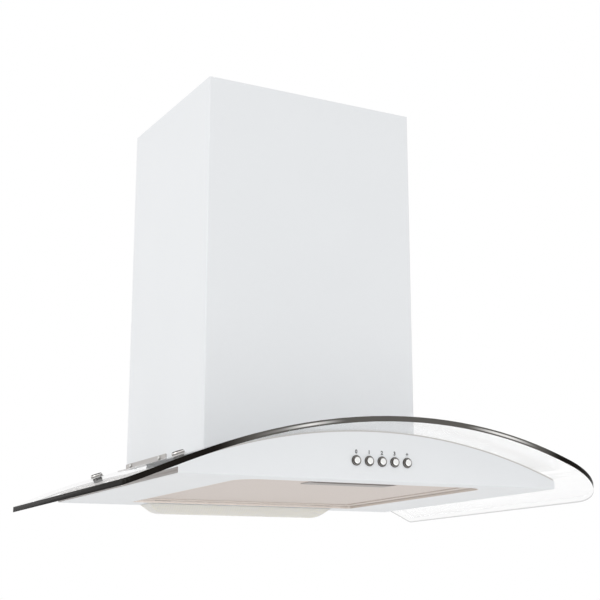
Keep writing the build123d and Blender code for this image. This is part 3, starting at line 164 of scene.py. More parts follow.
floor_mesh = bpy.data.meshes.new("floor")
floor_corners = [
    (FLOOR_REACH * x, FLOOR_REACH * y, -FLOOR_BELOW) for x, y in ((-1, -1), (1, -1), (1, 1), (-1, 1))
]
floor_mesh.from_pydata(floor_corners, [], [(0, 1, 2, 3)])
floor = bpy.data.objects.new("floor", floor_mesh)
bpy.context.scene.collection.objects.link(floor)
floor_finish, floor_tree, floor_shader = finish_of("pale_floor", FLOOR_PALE, roughness=0.7)
floor_grain = floor_tree.nodes.new("ShaderNodeTexNoise")
floor_grain.inputs["Scale"].default_value = FLOOR_GRAIN
floor_tree.links.new(object_place(floor_tree), floor_grain.inputs["Vector"])
floor_tone = blend_colors(floor_tree, floor_grain.outputs["Fac"], FLOOR_GREY, FLOOR_PALE)
floor_tree.links.new(floor_tone, floor_shader.inputs["Base Color"])
floor_seen = floor_tree.nodes.new("ShaderNodeLightPath")
mirrored = step_of(
    floor_tree, "ShaderNodeMath", "MAXIMUM",
    floor_seen.outputs["Is Glossy Ray"], floor_seen.outputs["Is Transmission Ray"],
)
white_floor = floor_tree.nodes.new("ShaderNodeEmission")
floor_choice = floor_tree.nodes.new("ShaderNodeMixShader")
floor_tree.links.new(mirrored.outputs[0], floor_choice.inputs[0])
floor_tree.links.new(floor_shader.outputs[0], floor_choice.inputs[1])
floor_tree.links.new(white_floor.outputs[0], floor_choice.inputs[2])
floor_tree.links.new(floor_choice.outputs[0], floor_tree.nodes["Material Output"].inputs["Surface"])
floor_mesh.materials.append(floor_finish)


# The white sheet metal: the body's folded shell, the bent deck under the glass and the two
# chimney covers. Steel sheet, powder coated after folding, so the gloss has a faint orange peel
# and the coat is thinner and a little greyer in soft patches.
PAINT_WHITE = (0.790, 0.806, 0.822)
PAINT_SHADE = (0.775, 0.791, 0.807)
PAINT_ROUGHNESS = 0.36


def new_group(name, inputs, outputs):
    """An empty node group with its sockets; returns the tree and its two end nodes."""
    tree = bpy.data.node_groups.new(name, "ShaderNodeTree")
    for label, kind, value in inputs:
        socket = tree.interface.new_socket(label, in_out="INPUT", socket_type=kind)
        if value is not None:
            socket.default_value = value
    for label, kind in outputs:
        tree.interface.new_socket(label, in_out="OUTPUT", socket_type=kind)
    return tree, tree.nodes.new("NodeGroupInput"), tree.nodes.new("NodeGroupOutput")


def coat_group():
    """Orange peel and soft patches of a sprayed coat: a mask of 0 to 1 and a height."""
    tree, start, end = new_group(
        "sprayed_coat",
        [
            ("Place", "NodeSocketVector", None), ("Patches", "NodeSocketFloat", 9.0),
            ("Peel", "NodeSocketFloat", 700.0),
        ],
        [("Patch", "NodeSocketFloat"), ("Height", "NodeSocketFloat")],
    )
    patches = tree.nodes.new("ShaderNodeTexNoise")
    patches.inputs["Detail"].default_value = 1.0
    peel = tree.nodes.new("ShaderNodeTexNoise")
    peel.inputs["Detail"].default_value = 1.5
    for noise, scale in ((patches, "Patches"), (peel, "Peel")):
        tree.links.new(start.outputs["Place"], noise.inputs["Vector"])
        tree.links.new(start.outputs[scale], noise.inputs["Scale"])
    tree.links.new(patches.outputs["Fac"], end.inputs["Patch"])
    tree.links.new(peel.outputs["Fac"], end.inputs["Height"])
    return tree


sprayed_coat = coat_group()


def place_group(tree, group, **values):
    """The group in a material, laid out by the piece's own place."""
    node = tree.nodes.new("ShaderNodeGroup")
    node.node_tree = group
    tree.links.new(object_place(tree), node.inputs["Place"])
    for label, value in values.items():
        node.inputs[label].default_value = value
    return node


def ramp_of(tree, value, start, end, low=0.0, high=1.0):
    """A number that goes smoothly from low, where value is start, to high, where it is end."""
    ramp = tree.nodes.new("ShaderNodeMapRange")
    ramp.interpolation_type = "SMOOTHSTEP"
    for label, limit in (("From Min", start), ("From Max", end), ("To Min", low), ("To Max", high)):
        ramp.inputs[label].default_value = limit
    tree.links.new(value, ramp.inputs["Value"])
    return ramp.outputs["Result"]


def spread(tree, mask, low, high):
    """A number that goes from low to high over the middle of a noise mask."""
    return ramp_of(tree, mask, start=0.15, end=0.85, low=low, high=high)


def emboss(tree, shader, height, strength, distance):
    """Bump on the shader's normal."""
    bump = tree.nodes.new("ShaderNodeBump")
    bump.inputs["Strength"].default_value = strength
    bump.inputs["Distance"].default_value = distance
    tree.links.new(height, bump.inputs["Height"])
    tree.links.new(bump.outputs["Normal"], shader.inputs["Normal"])


def coated(name, light, shade, roughness, peel=700.0):
    """A sprayed coat in one colour, with its patches and orange peel."""
    material, tree, shader = finish_of(name, light, roughness)
    coat = place_group(tree, sprayed_coat, Peel=peel)
    tree.links.new(blend_colors(tree, coat.outputs["Patch"], shade, light), shader.inputs["Base Color"])
    gloss = spread(tree, coat.outputs["Patch"], roughness + 0.03, roughness - 0.03)
    tree.links.new(gloss, shader.inputs["Roughness"])
    emboss(tree, shader, coat.outputs["Height"], strength=0.06, distance=0.0003)
    return material


def dress(name, material):
    """Give a CAD piece its material."""
    mesh = nodes[name].data
    mesh.materials.clear()
    mesh.materials.append(material)


white_paint = coated("white_paint", PAINT_WHITE, PAINT_SHADE, PAINT_ROUGHNESS)
for piece in ("body_shell", "top_deck", "lower_chimney", "upper_chimney"):
    dress(piece, white_paint)


# The two strips on the ends of the body. Thin stainless strip, brushed along its length and
# stuck under the bent deck's edge. The lines of the brushing run from front to back.
def brushed_group():
    """Fine lines drawn out along one axis: a mask and a height."""
    tree, start, end = new_group(
        "brushed_lines",
        [("Place", "NodeSocketVector", None), ("Stretch", "NodeSocketVector", (900, 6, 900))],
        [("Line", "NodeSocketFloat"), ("Height", "NodeSocketFloat")],
    )
    scale = tree.nodes.new("ShaderNodeVectorMath")
    scale.operation = "MULTIPLY"
    tree.links.new(start.outputs["Place"], scale.inputs[0])
    tree.links.new(start.outputs["Stretch"], scale.inputs[1])
    lines = tree.nodes.new("ShaderNodeTexNoise")
    lines.inputs["Scale"].default_value = 1.0
    lines.inputs["Detail"].default_value = 4.0
    tree.links.new(scale.outputs[0], lines.inputs["Vector"])
    tree.links.new(lines.outputs["Fac"], end.inputs["Line"])
    tree.links.new(lines.outputs["Fac"], end.inputs["Height"])
    return tree


brushed_lines = brushed_group()


def brushed(name, light, dark, roughness, stretch):
    """Brushed metal whose lines run along the axis with the small stretch."""
    material, tree, shader = finish_of(name, light, roughness, metallic=1.0)
    grain = place_group(tree, brushed_lines, Stretch=stretch)
    tree.links.new(blend_colors(tree, grain.outputs["Line"], dark, light), shader.inputs["Base Color"])
    gloss = spread(tree, grain.outputs["Line"], roughness + 0.08, roughness - 0.06)
    tree.links.new(gloss, shader.inputs["Roughness"])
    emboss(tree, shader, grain.outputs["Height"], strength=0.15, distance=0.0002)
    return material


# the strip is painted darker and browner than bright steel: painted shade, as the ends lie in shade under the
# glass
strip_steel_painted_shade = brushed(
    "strip_steel_painted_shade", light=(0.40, 0.375, 0.36), dark=(0.22, 0.20, 0.19), roughness=0.34, stretch=(700, 5, 700)
)
dress("side_trim_left", strip_steel_painted_shade)
dress("side_trim_right", strip_steel_painted_shade)


# The canopy: 6 mm float glass bent to one radius, its rim ground and polished. Four cap screws
# hold it on the seal. The two broad faces are clear. The rim's colour is painted: nearly black
# from outside as a painted dark reflection, with a painted highlight as a paler line along its middle, and
# faint from inside.
GLASS_CLEAR = (0.993, 0.998, 0.995)
GLASS_TINT = (0.989, 0.997, 0.993)
GLASS_BODY = 0.25
GLASS_SHADOW = 0.05
# painted colours of the rim: a dark and a grey painted reflection, and a pale painted highlight
RIM_PAINTED_DARK = (0.010, 0.0085, 0.007)
RIM_PAINTED_GREY = (0.105, 0.10, 0.092)
RIM_PAINTED_HIGHLIGHT = (0.80, 0.79, 0.77)
DECK_CROWN_Z = 0.0557
DECK_RADIUS = 0.676985
SEAL_THICK = 0.0015
GLASS_THICK = 0.006
BEND_AXIS_Z = DECK_CROWN_Z - DECK_RADIUS
RIM_MIDDLE = DECK_RADIUS + SEAL_THICK + GLASS_THICK / 2
RIM_SLANT = 0.8
WELD_GAP = 0.000002
SHARP_ANGLE = math.radians(35)
SEAL_REACH = 0.262
SEAL_GAP = 0.00012
# where along the rim the painted highlight is strongest
PAINTED_GLEAM_PLACES = (-0.14, 0.118)
INSIDE_CLEARNESS = 0.95
EDGE_SEEN = 0.35
# the scale of the noise that breaks up the painted highlight
HIGHLIGHT_BREAK_SCALE = 11.0

# each pair is the value where a ramp begins and the value where it is full
LINE_HALF_WIDTH = (0.0017, 0.0007)
LOW_EDGE = (-0.0010, -0.0020)
PAINTED_GREY_FROM_LEFT = (-0.235, -0.18)
PAINTED_GREY_FROM_RIGHT = (0.205, 0.17)
GLEAM_HALF_LENGTH = (0.055, 0.005)
HIGHLIGHT_BREAK_RANGE = (0.15, 0.60)

canopy_glass, glass_tree, glass_shader = finish_of("canopy_glass", GLASS_CLEAR, roughness=0.0)
glass_shader.inputs["Transmission Weight"].default_value = 1.0
glass_shader.inputs["IOR"].default_value = 1.5
batch = place_group(glass_tree, sprayed_coat, Patches=3.0)
glass_tone = blend_colors(glass_tree, batch.outputs["Patch"], GLASS_TINT, GLASS_CLEAR)
glass_tree.links.new(glass_tone, glass_shader.inputs["Base Color"])

# the glass throws a much fainter shadow than its body would
shadow_ray = glass_tree.nodes.new("ShaderNodeLightPath").outputs["Is Shadow Ray"]
shade_off = step_of(glass_tree, "ShaderNodeMath", "MULTIPLY", shadow_ray, GLASS_SHADOW - GLASS_BODY)
glass_alpha = step_of(glass_tree, "ShaderNodeMath", "ADD", shade_off.outputs[0], GLASS_BODY)
glass_tree.links.new(glass_alpha.outputs[0], glass_shader.inputs["Alpha"])

# the rim's material, whose colour is painted light and shade rather than the glass's own
rim_painted_light, rim_tree, rim_shader = finish_of("rim_painted_light", RIM_PAINTED_DARK, roughness=0.25)
rim_shader.inputs["Specular IOR Level"].default_value = 0.015


def rim_math(operation, first, second=None):
    """One step of arithmetic on a number in the rim's material."""
    return step_of(rim_tree, "ShaderNodeMath", operation, first, second).outputs[0]


# how far a point of the rim is from the middle of its thickness
rim_place = object_place(rim_tree)
from_axis = step_of(rim_tree, "ShaderNodeVectorMath", "SUBTRACT", rim_place, (0, 0, BEND_AXIS_Z))
spoke = step_of(rim_tree, "ShaderNodeVectorMath", "MULTIPLY", from_axis.outputs[0], (1, 0, 1))
reach = step_of(rim_tree, "ShaderNodeVectorMath", "LENGTH", spoke.outputs[0])
off_middle = rim_math("SUBTRACT", reach.outputs["Value"], RIM_MIDDLE)
near_middle = ramp_of(rim_tree, rim_math("ABSOLUTE", off_middle), *LINE_HALF_WIDTH)

# the rim's painted reflection: grey over the crown of the bend and black at both sides
along_x = rim_tree.nodes.new("ShaderNodeSeparateXYZ")
rim_tree.links.new(rim_place, along_x.inputs[0])
crown_sides = [ramp_of(rim_tree, along_x.outputs[0], *side) for side in (PAINTED_GREY_FROM_LEFT, PAINTED_GREY_FROM_RIGHT)]
rim_painted_reflection = blend_colors(rim_tree, rim_math("MULTIPLY", *crown_sides), RIM_PAINTED_DARK, RIM_PAINTED_GREY)

# the painted highlight: a pale line, strongest at two places and broken up by noise
highlight_break_noise = rim_tree.nodes.new("ShaderNodeTexNoise")
highlight_break_noise.inputs["Scale"].default_value = HIGHLIGHT_BREAK_SCALE
highlight_break_noise.inputs["Detail"].default_value = 1.0
rim_tree.links.new(rim_place, highlight_break_noise.inputs["Vector"])
uneven = ramp_of(rim_tree, highlight_break_noise.outputs["Fac"], *HIGHLIGHT_BREAK_RANGE)
gleams = []
for gleam_x in PAINTED_GLEAM_PLACES:
    away = rim_math("ABSOLUTE", rim_math("SUBTRACT", along_x.outputs[0], gleam_x))
    gleams.append(ramp_of(rim_tree, away, *GLEAM_HALF_LENGTH))
painted_highlight_mask = rim_math("MULTIPLY", near_middle, rim_math("MAXIMUM", *gleams))
painted_highlight_mask = rim_math("MULTIPLY", painted_highlight_mask, uneven)
lit = rim_tree.nodes.new("ShaderNodeMix")
lit.data_type = "RGBA"
lit.inputs[7].default_value = (*RIM_PAINTED_HIGHLIGHT, 1)
rim_tree.links.new(painted_highlight_mask, lit.inputs[0])
rim_tree.links.new(rim_painted_reflection, lit.inputs[6])
rim_tree.links.new(lit.outputs[2], rim_shader.inputs["Base Color"])
grind = place_group(rim_tree, brushed_lines, Stretch=(60, 60, 1500))
emboss(rim_tree, rim_shader, grind.outputs["Height"], strength=0.05, distance=0.0001)

# from inside the glass only the lower edge shows, as a thin grey outline
edge_fade = rim_math("MULTIPLY", ramp_of(rim_tree, off_middle, *LOW_EDGE), EDGE_SEEN)
edge_fade = rim_math("SUBTRACT", edge_fade, INSIDE_CLEARNESS)
rim_side = rim_tree.nodes.new("ShaderNodeNewGeometry")
fade = rim_math("MULTIPLY", rim_side.outputs["Backfacing"], edge_fade)
rim_tree.links.new(rim_math("ADD", fade, 1.0), rim_shader.inputs["Alpha"])


def spoke_of(point):
    """The vector from the bend's axis to a point of the glass, square to that axis."""
    return Vector((point.x, 0, point.z - BEND_AXIS_Z))


# the CAD's own glass, welded and smooth, its underside just clear of the seal's top
canopy_mesh = bpy.data.meshes.new("bent_glass")
welded = bmesh.new()
welded.from_mesh(nodes["glass_canopy"].data)
bmesh.ops.remove_doubles(welded, verts=welded.verts, dist=WELD_GAP)
for corner in welded.verts:
    outward = spoke_of(corner.co)
    if outward.length < RIM_MIDDLE and abs(corner.co.x) < SEAL_REACH:
        corner.co += SEAL_GAP * outward.normalized()
welded.to_mesh(canopy_mesh)
welded.free()
canopy_mesh.polygons.foreach_set("use_smooth", [True] * len(canopy_mesh.polygons))
canopy_mesh.set_sharp_from_angle(angle=SHARP_ANGLE)
canopy_mesh.materials.append(canopy_glass)
canopy_mesh.materials.append(rim_painted_light)
for face in canopy_mesh.polygons:
    face.material_index = int(abs(face.normal.dot(spoke_of(face.center).normalized())) < RIM_SLANT)
canopy = bpy.data.objects.new("bent_glass", canopy_mesh)
bpy.context.scene.collection.objects.link(canopy)
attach(canopy, "hood")
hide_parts("glass_canopy")
dress("glass_canopy", canopy_glass)


# The seal under the glass and the bushes round the cap screws. Closed-cell foam tape and
# moulded nylon, both light grey and matt with fine pores.
def pore_group():
    """Small cells of a foam or a moulded skin: a mask and a height."""
    tree, start, end = new_group(
        "fine_pores",
        [("Place", "NodeSocketVector", None), ("Cells", "NodeSocketFloat", 1500.0)],
        [("Pore", "NodeSocketFloat"), ("Height", "NodeSocketFloat")],
    )
    cells = tree.nodes.new("ShaderNodeTexVoronoi")
    tree.links.new(start.outputs["Place"], cells.inputs["Vector"])
    tree.links.new(start.outputs["Cells"], cells.inputs["Scale"])
    speckle = tree.nodes.new("ShaderNodeTexNoise")
    speckle.inputs["Detail"].default_value = 2.0
    tree.links.new(start.outputs["Place"], speckle.inputs["Vector"])
    tree.links.new(start.outputs["Cells"], speckle.inputs["Scale"])
    tree.links.new(speckle.outputs["Fac"], end.inputs["Pore"])
    tree.links.new(cells.outputs["Distance"], end.inputs["Height"])
    return tree


fine_pores = pore_group()


def moulded(name, light, dark, roughness, cells=1500.0, depth=0.0001):
    """A moulded plastic or foam with its fine skin."""
    material, tree, shader = finish_of(name, light, roughness)
    skin = place_group(tree, fine_pores, Cells=cells)
    tree.links.new(blend_colors(tree, skin.outputs["Pore"], dark, light), shader.inputs["Base Color"])
    gloss = spread(tree, skin.outputs["Pore"], roughness + 0.06, roughness - 0.06)
    tree.links.new(gloss, shader.inputs["Roughness"])
    emboss(tree, shader, skin.outputs["Height"], strength=0.25, distance=depth)
    return material


seal_foam = moulded(
    "seal_foam", light=(0.58, 0.56, 0.545), dark=(0.49, 0.47, 0.46), roughness=0.75, cells=900.0, depth=0.0003
)
grey_nylon = moulded("grey_nylon", light=(0.72, 0.72, 0.71), dark=(0.66, 0.66, 0.65), roughness=0.5)
dress("glass_seal", seal_foam)
dress("glass_bushes", grey_nylon)


# The bright parts: domed cap screws on the glass, the five push buttons and their rings.
# Turned brass, polished and chromed. Their colours are painted reflections: the flanks are painted
# dark and the faces bright, the rings dark all over, and fine turning lines run round them.
BUTTONS = [f"button_{number}" for number in range(1, 6)]
BUTTON_AXIS = (0, -1, 0)
PAINTED_FLANK_TO_FACE = (0.45, 0.97)
CHROME_ROUGHNESS = 0.12
TURNING_LINES = (500, 500, 500)


def turned_lines(tree, shader):
    """Fine turning lines embossed on the shader; returns their mask."""
    turning = place_group(tree, brushed_lines, Stretch=TURNING_LINES)
    emboss(tree, shader, turning.outputs["Height"], strength=0.08, distance=0.0001)
    return turning.outputs["Line"]


def chromed(name, face, flank):
    """Chrome painted dark on its flanks, a painted reflection, going to its face colour as it turns to the
    buttons' axis.
    """
    material, tree, shader = finish_of(name, face, CHROME_ROUGHNESS, metallic=1.0)
    sides = tree.nodes.new("ShaderNodeTexCoord")
    along = step_of(tree, "ShaderNodeVectorMath", "DOT_PRODUCT", sides.outputs["Normal"], BUTTON_AXIS)
    turned = ramp_of(tree, along.outputs["Value"], *PAINTED_FLANK_TO_FACE)
    tree.links.new(blend_colors(tree, turned, flank, face), shader.inputs["Base Color"])
    gloss = spread(tree, turned_lines(tree, shader), CHROME_ROUGHNESS + 0.05, CHROME_ROUGHNESS - 0.04)
    tree.links.new(gloss, shader.inputs["Roughness"])
    return material


# the rings are painted dark all over and darkest on their flanks: a painted reflection
dress("button_bezels", chromed("chrome_ring", face=(0.20, 0.19, 0.18), flank=(0.012, 0.011, 0.010)))
button_chrome = chromed("chrome_button", face=(0.86, 0.86, 0.85), flank=(0.12, 0.11, 0.105))
for piece in BUTTONS:
    dress(piece, button_chrome)

# the cap screws' painted light and shade: bands of painted highlight and dark, each with how far the dome
# faces outward there and how bright it is
CAP_MIDDLE = (0.7, 0.69, 0.67)
CAP_PAINTED_FLANK = (0.30, 0.29, 0.28)
CAP_PAINTED_BANDS = ((0.10, 0.34), (0.24, 0.92), (0.42, 0.75))
CAP_WARMTH = (1.0, 0.98, 0.95)
CAP_PAINTED_CROWN_FROM = 0.70
CAP_PAINTED_CROWN = (0.05, 0.045, 0.04)
cap_chrome, cap_tree, cap_shader = finish_of("chrome_cap", CAP_MIDDLE, roughness=0.14, metallic=1.0)
cap_point = step_of(cap_tree, "ShaderNodeVectorMath", "SUBTRACT", object_place(cap_tree), (0, 0, BEND_AXIS_Z))
cap_spoke = step_of(cap_tree, "ShaderNodeVectorMath", "MULTIPLY", cap_point.outputs[0], (1, 0, 1))
cap_axis = step_of(cap_tree, "ShaderNodeVectorMath", "NORMALIZE", cap_spoke.outputs[0])
cap_normal = cap_tree.nodes.new("ShaderNodeTexCoord").outputs["Normal"]
cap_rise = step_of(cap_tree, "ShaderNodeVectorMath", "DOT_PRODUCT", cap_normal, cap_axis.outputs[0])
cap_painted_light = cap_tree.nodes.new("ShaderNodeValToRGB")
bands = cap_painted_light.color_ramp.elements
bands[0].color = (*CAP_PAINTED_FLANK, 1)
bands[1].position = CAP_PAINTED_CROWN_FROM
bands[1].color = (*CAP_PAINTED_CROWN, 1)
for place, level in CAP_PAINTED_BANDS:
    bands.new(place).color = (*(level * warmth for warmth in CAP_WARMTH), 1)
cap_tree.links.new(cap_rise.outputs["Value"], cap_painted_light.inputs[0])
cap_tree.links.new(cap_painted_light.outputs[0], cap_shader.inputs["Base Color"])
turned_lines(cap_tree, cap_shader)
dress("glass_cap_screws", cap_chrome)


# Galvanised sheet: wall plate, motor housing, chimney bracket, lamp box, fan scroll, impeller,
# motor mount and capacitor clip. Folded and pressed from zinc-dipped steel with its spangle of
# crystals, and screwed together. The two feet of the chimney are plain brushed steel.
ZINC_LIGHT = (0.68, 0.70, 0.71)
ZINC_DARK = (0.50, 0.52, 0.54)


def spangle_group():
    """Zinc crystals: each cell has its own shade; a mask and a height."""
    tree, start, end = new_group(
        "zinc_spangle",
        [("Place", "NodeSocketVector", None), ("Crystals", "NodeSocketFloat", 90.0)],
        [("Shade", "NodeSocketFloat"), ("Height", "NodeSocketFloat")],
    )
    crystals = tree.nodes.new("ShaderNodeTexVoronoi")
    tree.links.new(start.outputs["Place"], crystals.inputs["Vector"])
    tree.links.new(start.outputs["Crystals"], crystals.inputs["Scale"])
    shade = tree.nodes.new("ShaderNodeSeparateColor")
    tree.links.new(crystals.outputs["Color"], shade.inputs[0])
    tree.links.new(shade.outputs[0], end.inputs["Shade"])
    tree.links.new(crystals.outputs["Distance"], end.inputs["Height"])
    return tree


zinc_spangle = spangle_group()
galvanised, zinc_tree, zinc_shader = finish_of("galvanised_sheet", ZINC_LIGHT, roughness=0.42, metallic=0.9)
zinc = place_group(zinc_tree, zinc_spangle)
zinc_tone = blend_colors(zinc_tree, zinc.outputs["Shade"], ZINC_DARK, ZINC_LIGHT)
zinc_tree.links.new(zinc_tone, zinc_shader.inputs["Base Color"])
zinc_gloss = spread(zinc_tree, zinc.outputs["Shade"], low=0.50, high=0.36)
zinc_tree.links.new(zinc_gloss, zinc_shader.inputs["Roughness"])
emboss(zinc_tree, zinc_shader, zinc.outputs["Height"], strength=0.08, distance=0.0005)
for piece in (
    "wall_plate", "motor_housing", "chimney_bracket", "lamp_box", "fan_scroll", "impeller", "motor_mount",
    "capacitor_clip",
):
    dress(piece, galvanised)

foot_steel = brushed(
    "foot_steel", light=(0.58, 0.56, 0.545), dark=(0.47, 0.45, 0.44), roughness=0.45, stretch=(500, 8, 500)
)
dress("chimney_foot_left", foot_steel)
dress("chimney_foot_right", foot_steel)


# The fixings: pan-head screws, nuts, the shaft, the damper's pin and the latch's spring.
# Steel, bright zinc plated, with faint turning marks.
bright_zinc = brushed(
    "bright_zinc", light=(0.66, 0.66, 0.64), dark=(0.52, 0.52, 0.51), roughness=0.3, stretch=(400, 400, 400)
)
for piece in (
    "glass_nuts", "housing_screws", "chimney_screws", "bracket_screws", "switch_screws", "scroll_screws",
    "motor_screws", "collar_screws", "motor_shaft", "damper_pin", "latch_spring",
):
    dress(piece, bright_zinc)

# the latch's spring again, a copy with its own mesh that goes with the filter; the real spring shortens from
# its fixed rear end as the latch slides back
coil = bpy.data.objects.new("latch_coil", nodes["latch_spring"].data.copy())
bpy.context.scene.collection.objects.link(coil)
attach(coil, "filter")
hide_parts("latch_spring")
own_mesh(coil)


# The grease filter in its pressed well. The frame and the cup are folded aluminium, and the
# pad is woven from aluminium wire in crossing rows; all of it has a warm satin tone.
WARM_LIGHT = (0.84, 0.78, 0.74)
WARM_DARK = (0.76, 0.70, 0.65)
WEAVE_PITCH = 0.0032
WEAVE_TURN = math.radians(45)
WIRE_EDGE = (0.18, 0.40)
WIRE_LIGHT = (0.80, 0.72, 0.67)
WIRE_GAP_PAINTED_SHADE = (0.50, 0.44, 0.40)
LIP_SIZE = (0.114, 0.026, 0.0006)
LIP_CORNER = 0.005
LIP_STEPS = 6
LIP_FRONT_Y = -0.3522
LIP_TOP_Z = 0.0041
warm_sheet = brushed("warm_aluminium", WARM_LIGHT, WARM_DARK, roughness=0.45, stretch=(300, 12, 300))
for piece in ("filter_well", "filter_frame"):
    dress(piece, warm_sheet)
# the cup is painted darker than the frame: painted shade in the pocket of the pull
cup_painted_shade = brushed(
    "cup_painted_shade", light=(0.49, 0.455, 0.44), dark=(0.38, 0.35, 0.335), roughness=0.45, stretch=(300, 12, 300)
)
dress("filter_handle", cup_painted_shade)

# the cup again with the flange that its press leaves behind it, flat against the mesh; cup and flange carry
# painted shade round the pocket
form = bmesh.new()
form.from_mesh(nodes["filter_handle"].data)
wide, deep, thick = LIP_SIZE
corners = []
for side, quarter in ((1, 0), (-1, 1)):
    for step in range(LIP_STEPS + 1):
        angle = math.radians(90 * quarter + 90 / LIP_STEPS * step)
        corners.append((
            side * (wide / 2 - LIP_CORNER) + LIP_CORNER * math.cos(angle),
            LIP_FRONT_Y + deep - LIP_CORNER + LIP_CORNER * math.sin(angle),
        ))
corners += [(-wide / 2, LIP_FRONT_Y), (wide / 2, LIP_FRONT_Y)]
under = [form.verts.new((x, y, LIP_TOP_Z - thick)) for x, y in corners]
over = [form.verts.new((x, y, LIP_TOP_Z)) for x, y in corners]
form.faces.new(under[::-1])
form.faces.new(over)
for i, corner in enumerate(under):
    after = (i + 1) % len(under)
    form.faces.new((corner, under[after], over[after], over[i]))
cup_mesh = bpy.data.meshes.new("pull_cup")
form.to_mesh(cup_mesh)
form.free()
cup_mesh.materials.append(cup_painted_shade)
pull_cup = bpy.data.objects.new("pull_cup", cup_mesh)
bpy.context.scene.collection.objects.link(pull_cup)
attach(pull_cup, "filter")
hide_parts("filter_handle")


def weave_group():
    """Wires crossing at right angles: a mask that is low in the holes, where shade is painted, and a height.
    """
    tree, start, end = new_group(
        "wire_weave",
        [("Place", "NodeSocketVector", None), ("Pitch", "NodeSocketFloat", WEAVE_PITCH)],
        [("Wire", "NodeSocketFloat"), ("Height", "NodeSocketFloat")],
    )
    slanted = tree.nodes.new("ShaderNodeVectorRotate")
    slanted.inputs["Angle"].default_value = WEAVE_TURN
    tree.links.new(start.outputs["Place"], slanted.inputs["Vector"])
    parts = tree.nodes.new("ShaderNodeSeparateXYZ")
    tree.links.new(slanted.outputs[0], parts.inputs[0])
    waves = []
    for axis in (0, 1):
        phase = step_of(tree, "ShaderNodeMath", "DIVIDE", parts.outputs[axis], start.outputs["Pitch"])
        waves.append(step_of(tree, "ShaderNodeMath", "PINGPONG", phase.outputs[0], 0.5).outputs[0])
    top = step_of(tree, "ShaderNodeMath", "MAXIMUM", *waves)
    wire = tree.nodes.new("ShaderNodeMapRange")
    wire.inputs["From Min"].default_value, wire.inputs["From Max"].default_value = WIRE_EDGE
    tree.links.new(top.outputs[0], wire.inputs["Value"])
    tree.links.new(wire.outputs["Result"], end.inputs["Wire"])
    tree.links.new(wire.outputs["Result"], end.inputs["Height"])
    return tree


wire_weave = weave_group()
mesh_metal, mesh_tree, mesh_shader = finish_of("filter_weave", WIRE_LIGHT, roughness=0.5, metallic=0.4)
weave = place_group(mesh_tree, wire_weave, Pitch=WEAVE_PITCH)
# the holes between the wires are painted darker: painted shade
weave_tone = blend_colors(mesh_tree, weave.outputs["Wire"], WIRE_GAP_PAINTED_SHADE, WIRE_LIGHT)
mesh_tree.links.new(weave_tone, mesh_shader.inputs["Base Color"])
emboss(mesh_tree, mesh_shader, weave.outputs["Height"], strength=0.35, distance=0.0004)
dress("filter_mesh", mesh_metal)


# The black plastic: the filter's latch, the switch block and the cable gland. Moulded nylon
# with a fine spark-eroded skin.
black_nylon = moulded(
    "black_nylon", light=(0.055, 0.055, 0.06), dark=(0.035, 0.035, 0.04), roughness=0.5, cells=1200.0
)
for piece in ("filter_latch", "switch_block", "cable_gland"):
    dress(piece, black_nylon)


# The lamp cover, a long tray of cream translucent acrylic that hooks in behind the filter, and
# the two frosted tubular lamps above it in their ceramic holders. Fine flutes run across it.
CREAM_LIGHT = (0.83, 0.795, 0.705)
CREAM_DARK = (0.80, 0.765, 0.675)
FLUTE_SCALE = 90.0
cover_acrylic, cover_tree, cover_shader = finish_of("cream_acrylic", CREAM_LIGHT, roughness=0.3)
cover_shader.inputs["Subsurface Weight"].default_value = 0.35
cover_shader.inputs["Subsurface Radius"].default_value = (0.02, 0.018, 0.012)
cover_shader.inputs["Subsurface Scale"].default_value = 0.4
flutes = cover_tree.nodes.new("ShaderNodeTexWave")
flutes.bands_direction = "X"
flutes.inputs["Scale"].default_value = FLUTE_SCALE
cover_tree.links.new(object_place(cover_tree), flutes.inputs["Vector"])
cover_tone = blend_colors(cover_tree, flutes.outputs["Fac"], CREAM_DARK, CREAM_LIGHT)
cover_tree.links.new(cover_tone, cover_shader.inputs["Base Color"])
emboss(cover_tree, cover_shader, flutes.outputs["Fac"], strength=0.04, distance=0.0003)
dress("lamp_cover", cover_acrylic)

frosted = moulded(
    "frosted_glass", light=(0.90, 0.89, 0.86), dark=(0.86, 0.85, 0.82), roughness=0.35, cells=600.0
)
dress("lamp_left", frosted)
dress("lamp_right", frosted)
ceramic = moulded(
    "glazed_ceramic", light=(0.80, 0.78, 0.73), dark=(0.74, 0.72, 0.67), roughness=0.25, cells=300.0
)
dress("lamp_holder_left", ceramic)
dress("lamp_holder_right", ceramic)


# The fan motor. Die-cast bells on a laminated stack, dipped in dark varnish. Its screws hold
# it to the motor mount, and its shaft carries the fan wheel.
motor_varnish = coated(
    "motor_varnish", light=(0.13, 0.13, 0.14), shade=(0.08, 0.08, 0.09), roughness=0.4, peel=300.0
)
dress("motor", motor_varnish)


# The light plastic inside the chimney: inlet ring, capacitor, duct collar, its two flaps, the
# terminal box and its lid. Moulded polypropylene, off-white and slightly waxy.
pale_plastic = moulded("pale_plastic", light=(0.78, 0.78, 0.76), dark=(0.73, 0.73, 0.71), roughness=0.42)
for piece in (
    "inlet_ring", "capacitor", "duct_collar", "damper_flap_left", "damper_flap_right", "terminal_box",
    "terminal_lid",
):
    dress(piece, pale_plastic)


